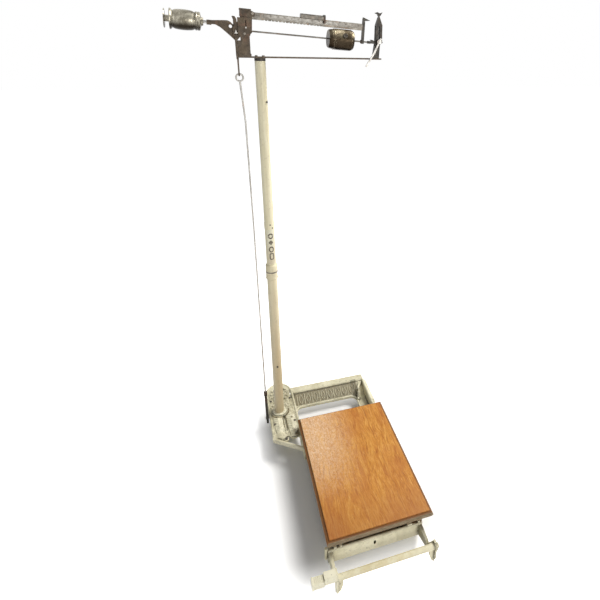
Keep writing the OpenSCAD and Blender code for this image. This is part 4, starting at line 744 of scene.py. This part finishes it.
def tube_loop(outline, width, r0, r1):
    """A closed printed line round an outline of (u, z) points."""
    count = len(outline)
    points, faces = [], []
    for i, (u, z) in enumerate(outline):
        (u_back, z_back), (u_on, z_on) = outline[i - 1], outline[(i + 1) % count]
        du, dz = u_on - u_back, z_on - z_back
        length = math.hypot(du, dz)
        nu, nz = dz / length * width / 2, -du / length * width / 2
        for r in (r0, r1):
            points += [round_tube(u + nu, z + nz, r), round_tube(u - nu, z - nz, r)]
    for i in range(count):
        a, b = 4 * i, 4 * ((i + 1) % count)
        faces += [(a, b, b + 1, a + 1), (a + 2, a + 3, b + 3, b + 2)]
        faces += [(a, a + 2, b + 2, b), (a + 1, b + 1, b + 3, a + 3)]
    return points, faces


def oval(u, z, ru, rz, power=2.0, count=40):
    """A round outline; a higher power squares it off, and 1 makes a lozenge."""
    out = []
    for i in range(count):
        a = 2 * math.pi * i / count
        c, s = (math.copysign(abs(v) ** (2 / power), v) for v in (math.cos(a), math.sin(a)))
        out.append((u + ru * c, z + rz * s))
    return out


label = Heap()
label.add(*tube_sheet(-12.5, 21.0, 698, 819.5, thick=0.5, corner=3.5))
make_mesh("column_label", label.points, label.faces, label_paper(), "stand")
PRINT_LOW, PRINT_HIGH = TUBE_R + 0.4, TUBE_R + 0.62
PRINTED = (
    (oval(1.0, 797.5, 6.6, 7.4), 4.2),
    (oval(1.2, 775, 5.6, 6.4, 1.1, 48), 2.6),
    (oval(1.2, 775, 1.6, 1.8), 2.4),
    (oval(1.6, 750.5, 6.4, 8.6), 3.6),
    (oval(2.0, 725.5, 5.8, 10.0, 5.0), 3.2),
)
ink = Heap()
for outline, width in PRINTED:
    ink.add(*tube_loop(outline, width, PRINT_LOW, PRINT_HIGH))
make_mesh("label_ornament", ink.points, ink.faces, INK, "stand")

# Two small rivets through the band round the upper tube: each a dome of rings, radius and height
DOME = ((2.3, 0.0), (2.2, 0.5), (1.6, 1.1), (0.8, 1.4))
SIDES = 16
rivets = Heap()
for u, z in ((1.5, 836.5), (8.5, 825.0)):
    out, up = (round_tube(u, z, 1) - round_tube(u, z, 0)).normalized(), Vector((0, 0, 1))
    side = up.cross(out)
    centre = round_tube(u, z, TUBE_R + 0.7)
    points = [
        centre + (side * math.cos(a) * r + up * math.sin(a) * r + out * h) / 1000
        for r, h in DOME for a in [2 * math.pi * k / SIDES for k in range(SIDES)]
    ]
    faces = []
    for j in range(len(DOME) - 1):
        for k in range(SIDES):
            a, b, following = SIDES * j, SIDES * (j + 1), (k + 1) % SIDES
            faces.append((a + k, a + following, b + following, b + k))
    crown = SIDES * (len(DOME) - 1)
    faces += [tuple(crown + k for k in range(SIDES)), tuple(reversed(range(SIDES)))]
    rivets.add(points, faces)
make_mesh(
    "band_rivets", rivets.points, rivets.faces, FINISHES["dark_iron"], "stand",
    smooth=True,
)

# Cast ornament on the sloping rear panel: lozenges between upright ribs
RIBS, FIRST_RIB, RIB_PITCH, RIB_FOOT, RIB_HEAD = 9, 17, 29.5, 8, 49
LOZENGE = ((0, -19), (4.5, -10), (8.0, 0), (4.5, 10), (0, 19), (-4.5, 10), (-8.0, 0), (-4.5, -10))
panel = Heap()


def on_panel(x, s):
    return PANEL_FOOT + Vector((x / 1000, 0, 0)) + PANEL_UP * s / 1000


for i in range(RIBS):
    x = FIRST_RIB + RIB_PITCH * i
    upright = [on_panel(x, RIB_FOOT), on_panel(x, RIB_HEAD)]
    panel.add(*ridge(upright, PANEL_OUT, 0.0038, 0.0030))
    if i < RIBS - 1:
        middle = x + RIB_PITCH / 2
        path = [on_panel(middle + du, (RIB_FOOT + RIB_HEAD) / 2 + ds) for du, ds in LOZENGE]
        panel.add(*ridge(path, PANEL_OUT, 0.0034, 0.0028, closed=True))
make_mesh(
    "rear_panel_ornament", panel.points, panel.faces, FINISHES["cream_paint"], "stand",
)

# Relief of the foot plate, with its dirt and painted shade: one sheet that follows the casting's
# top a little proud of it
tree = BVHTree.FromObject(frame["nodes"]["foot_plate"], bpy.context.evaluated_depsgraph_get())
LEAVES = ((-71.85, 466), (-25.15, 447))
LEAF_HALF, LEAF_HEAD = 16.85, 544.0
COLUMN_X, COLUMN_Y = -61.0, 571.0
OUTSIDE, LOWEST, SKIRT, FILM = -1.0, -0.34, 0.35, 0.12
STEP = 1.25
xs = np.arange(-91.0, -5.4, STEP)
ys = np.arange(438.0, 678.0, STEP)


def leaf_places(x, y):
    """For each leaf: place across it and along it, and a measure that is 0 on its outline."""
    for middle, foot in LEAVES:
        u = (x - middle) / LEAF_HALF
        v = (y - foot) / (LEAF_HEAD - foot)
        yield u, v, 1 - abs(u) ** 2.4 - max(0.0, 0.5 - v) ** 2 * 2.2


def eased(value, gain):
    return min(1.0, max(0.0, value) * gain)


def lobe_relief(x, y):
    """Millimetres over the casting of the two leaves on the tongue; below zero is outside."""
    best = OUTSIDE
    for u, v, shape in leaf_places(x, y):
        if shape < -0.2 or v < -0.05 or v > 1.02:
            continue
        rise = eased(shape, 7) * eased(v, 9) * eased(1.0 - v, 12)
        vein = 0.5 + 0.5 * math.cos(2 * math.pi * (y / 11.5 - abs(u) * 0.9))
        mid = math.exp(-(u / 0.13) ** 2)
        beads = math.exp(-((abs(u) - 0.80) / 0.14) ** 2) * abs(math.sin(math.pi * y / 8.2))
        ribs = 2.0 * vein ** 2 * (1 - mid) * (1 - 0.3 * abs(u))
        height = 0.25 + ribs + 2.2 * mid + 1.3 * beads
        best = max(best, rise * height - SKIRT * (1 - rise))
    return best


def shell_relief(x, y):
    """Millimetres over the casting of the fluting round the socket and on the rounded end."""
    dx, dy = x - COLUMN_X, y - COLUMN_Y
    r, a = math.hypot(dx, dy), math.atan2(dy, dx)
    if y < COLUMN_Y - 30 or r < 30:
        return OUTSIDE
    inner = min(1.0, (r - 30) / 3) * min(1.0, max(0.0, 46 - r) / 3)
    flute = inner * (0.25 + 1.5 * (0.5 + 0.5 * math.cos(a * 18)) ** 1.5) - SKIRT * (1 - inner)
    bx, by = x + 50.5, y - (COLUMN_Y + 60)
    s, b = math.hypot(bx, by), math.atan2(by, bx)
    outer = min(1.0, max(0.0, r - 47) / 3) * min(1.0, max(0.0, 80 - s) / 6)
    curl = 0.5 + 0.5 * math.cos(b * 7 + s * 0.30)
    return max(flute, outer * (0.2 + 1.7 * curl ** 2) - SKIRT * (1 - outer))


def groove(x, y):
    """Whether the point gets the dark sheet: dirt and painted shade in the grooves, painted shadow
    right of the right leaf's foot and in a pit.
    """
    right_leaf, right_foot = LEAVES[1]
    round_collar = 30.5 < math.hypot(x - COLUMN_X, y - COLUMN_Y) < 37 and y < COLUMN_Y + 8
    between_leaves = 455 < y < 541 and 2.6 < abs(x + 48.5) < 6.2
    on_outline = any(
        -0.16 < shape < 0.10 and -0.02 < v < 0.98 for _, v, shape in leaf_places(x, y)
    )
    # Painted shadow to the right of the right leaf's foot and in a pit
    right_of_foot = x > right_leaf + 2 and y < right_foot + 27
    off_foot = math.hypot((x - right_leaf) / 15.5, (y - right_foot - 27) / 27) > 1
    in_pit = math.hypot((x + 22) / 3.4, (y - 526) / 5.2) < 1
    return round_collar or between_leaves or on_outline or right_of_foot and off_foot or in_pit


index, depths, points = {}, {}, []
PLATE_LOW, LEVEL_ENOUGH, STEEPEST = at(0, 0, -46).z, 0.35, 0.0014
for i, x in enumerate(xs):
    for j, y in enumerate(ys):
        height = max(lobe_relief(x, y), shell_relief(x, y), FILM if groove(x, y) else OUTSIDE)
        if height <= LOWEST:
            continue
        place, normal, _, _ = tree.ray_cast(at(x, y, 40), Vector((0, 0, -1)))
        if place is None or place.z < PLATE_LOW or normal.z < LEVEL_ENOUGH:
            continue
        index[i, j] = len(points)
        depths[i, j] = place.z
        points.append(place + Vector((0, 0, height / 1000)))
less_dirt_and_shade, dirt_and_shade_faces = [], []
for i, j in list(index):
    around = [(i, j), (i + 1, j), (i + 1, j + 1), (i, j + 1)]
    if not all(k in index for k in around):
        continue
    fall = max(depths[k] for k in around) - min(depths[k] for k in around)
    if fall < STEEPEST:
        chosen = dirt_and_shade_faces if groove(xs[i] + STEP / 2, ys[j] + STEP / 2) else less_dirt_and_shade
        chosen.append(tuple(index[k] for k in around))
for name, faces, finish in (
    ("foot_plate_relief", less_dirt_and_shade, FINISHES["cream_paint"]),
    ("foot_plate_dirt", dirt_and_shade_faces, groove_dirt_and_shade()),
):
    used = sorted({k for face in faces for k in face})
    order = {k: i for i, k in enumerate(used)}
    faces = [tuple(order[k] for k in face) for face in faces]
    used_points = [points[k] for k in used]
    make_mesh(name, used_points, faces, finish, "stand", smooth=True)


# Stage
def node_math(nodes, links, how, first, second):
    made = nodes.new("ShaderNodeMath")
    made.operation = how
    made.use_clamp = True
    links.new(first, made.inputs[0])
    links.new(second, made.inputs[1])
    return made.outputs[0]


FLOOR_HALF, FLOOR_GAP = 14, 0.0004
floor_data = bpy.data.meshes.new("floor")
corners = [(x * FLOOR_HALF, y * FLOOR_HALF, 0) for x, y in ((-1, -1), (1, -1), (1, 1), (-1, 1))]
floor_data.from_pydata(corners, [], [(0, 1, 2, 3)])
floor = bpy.data.objects.new("floor", floor_data)
floor.location.z = cad_low.z - FLOOR_GAP
scene.collection.objects.link(floor)
pale = bpy.data.materials.new("pale_floor")
pale.use_nodes = True
nodes, links = pale.node_tree.nodes, pale.node_tree.links
nodes.clear()
diffuse = nodes.new("ShaderNodeBsdfDiffuse")
diffuse.inputs["Color"].default_value = (0.93, 0.93, 0.935, 1)
glow = nodes.new("ShaderNodeEmission")
path = nodes.new("ShaderNodeLightPath")
camera_ray, glossy_ray = path.outputs["Is Camera Ray"], path.outputs["Is Glossy Ray"]
seen = node_math(nodes, links, "ADD", camera_ray, glossy_ray)

# The floor glows white away from a rectangle under the platform, so that only that part is shaded
shaded_low, shaded_high = at(-60, 60, -116), at(300, 560, -116)
any_height = Vector((0, 0, 9))
DISTANCE = (
    ("SUBTRACT", (shaded_low + shaded_high) / 2),
    ("ABSOLUTE", None),
    ("SUBTRACT", (shaded_high - shaded_low) / 2 + any_height),
    ("MAXIMUM", Vector((0, 0, 0))),
    ("LENGTH", None),
)
socket = nodes.new("ShaderNodeNewGeometry").outputs["Position"]
for how, value in DISTANCE:
    away = nodes.new("ShaderNodeVectorMath")
    away.operation = how
    links.new(socket, away.inputs[0])
    if value is not None:
        away.inputs[1].default_value = value
    socket = away.outputs["Value" if how == "LENGTH" else "Vector"]
far = nodes.new("ShaderNodeMapRange")
far.interpolation_type = "SMOOTHSTEP"
links.new(socket, far.inputs[0])
glow_from, glow_to, full_glow = 0.01, 0.15, 0.9
for number, value in zip((1, 2, 3, 4), (glow_from, glow_to, 0.0, full_glow)):
    far.inputs[number].default_value = value
links.new(node_math(nodes, links, "MULTIPLY", seen, far.outputs[0]), glow.inputs["Strength"])
both = nodes.new("ShaderNodeAddShader")
end = nodes.new("ShaderNodeOutputMaterial")
links.new(diffuse.outputs[0], both.inputs[0])
links.new(glow.outputs[0], both.inputs[1])
links.new(both.outputs[0], end.inputs["Surface"])
floor_data.materials.append(pale)

# World: white where it is seen, weak where it lights
world = bpy.data.worlds.new("studio")
scene.world = world
world.use_nodes = True
nodes, links = world.node_tree.nodes, world.node_tree.links
nodes.clear()
path = nodes.new("ShaderNodeLightPath")
camera_ray, glossy_ray = path.outputs["Is Camera Ray"], path.outputs["Is Glossy Ray"]
seen = node_math(nodes, links, "ADD", camera_ray, glossy_ray)
seen = node_math(nodes, links, "ADD", seen, path.outputs["Is Transmission Ray"])
choose = nodes.new("ShaderNodeMixShader")
links.new(seen, choose.inputs[0])
for number, colour, strength in ((1, (0.97, 0.985, 1.0, 1), 0.2), (2, (1, 1, 1, 1), 1.0)):
    light = nodes.new("ShaderNodeBackground")
    light.inputs["Color"].default_value = colour
    light.inputs["Strength"].default_value = strength
    links.new(light.outputs[0], choose.inputs[number])
end = nodes.new("ShaderNodeOutputWorld")
links.new(choose.outputs[0], end.inputs["Surface"])

# Lamps: name, place, target, size, power, colour
LAMPS = (
    ("key", (2.0, 0.5, 3.0), (0.0, -0.1, 0.3), 1.6, 104, (1.0, 0.98, 0.94)),
    ("front", (0.9, -3.2, 1.1), (0.0, -0.1, 0.6), 1.5, 38, (1.0, 0.985, 0.96)),
    ("fill", (-2.2, -1.6, 2.0), (0.0, 0.0, 0.9), 1.4, 7, (0.96, 0.98, 1.0)),
)
for name, place, target, size, power, colour in LAMPS:
    data = bpy.data.lights.new(name, "AREA")
    data.shape = "DISK"
    data.size = size
    data.energy = power
    data.color = colour
    lamp = bpy.data.objects.new(name, data)
    lamp.location = place
    lamp.rotation_euler = (Vector(target) - Vector(place)).to_track_quat("-Z", "Y").to_euler()
    scene.collection.objects.link(lamp)

# Camera, fitted to the photograph: focal length, centre and vanishing points in its pixels
EYE = at(-198, -902, 1280)
FOCAL = 473.65
CENTRE = (376.7, 211.8)
SIDE = 600
VANISH_RIGHT, VANISH_BACK, VANISH_DOWN = (1842.5, 81.0), (208.3, 39.5), (342.8, 1547.3)
SENSOR, CLIP_END = 36, 100


def toward(u, v):
    """Direction of a pixel, in the camera's frame."""
    return np.array([(u - CENTRE[0]) / FOCAL, (v - CENTRE[1]) / FOCAL, 1.0])


axes = np.stack([toward(*VANISH_RIGHT), toward(*VANISH_BACK), -toward(*VANISH_DOWN)], axis=1)
axes /= np.linalg.norm(axes, axis=0)
left, _, right = np.linalg.svd(axes)
turn = left @ right
camera_data = bpy.data.cameras.new("camera")
camera_data.sensor_width = SENSOR
camera_data.lens = FOCAL * SENSOR / SIDE
camera_data.shift_x = -(CENTRE[0] - SIDE / 2) / SIDE
camera_data.shift_y = (CENTRE[1] - SIDE / 2) / SIDE
camera_data.clip_end = CLIP_END
camera = bpy.data.objects.new("camera", camera_data)
view = np.stack([turn[0], -turn[1], -turn[2]], axis=1)
camera.matrix_world = Matrix.Translation(EYE) @ Matrix(view.tolist()).to_4x4()
scene.collection.objects.link(camera)
scene.camera = camera
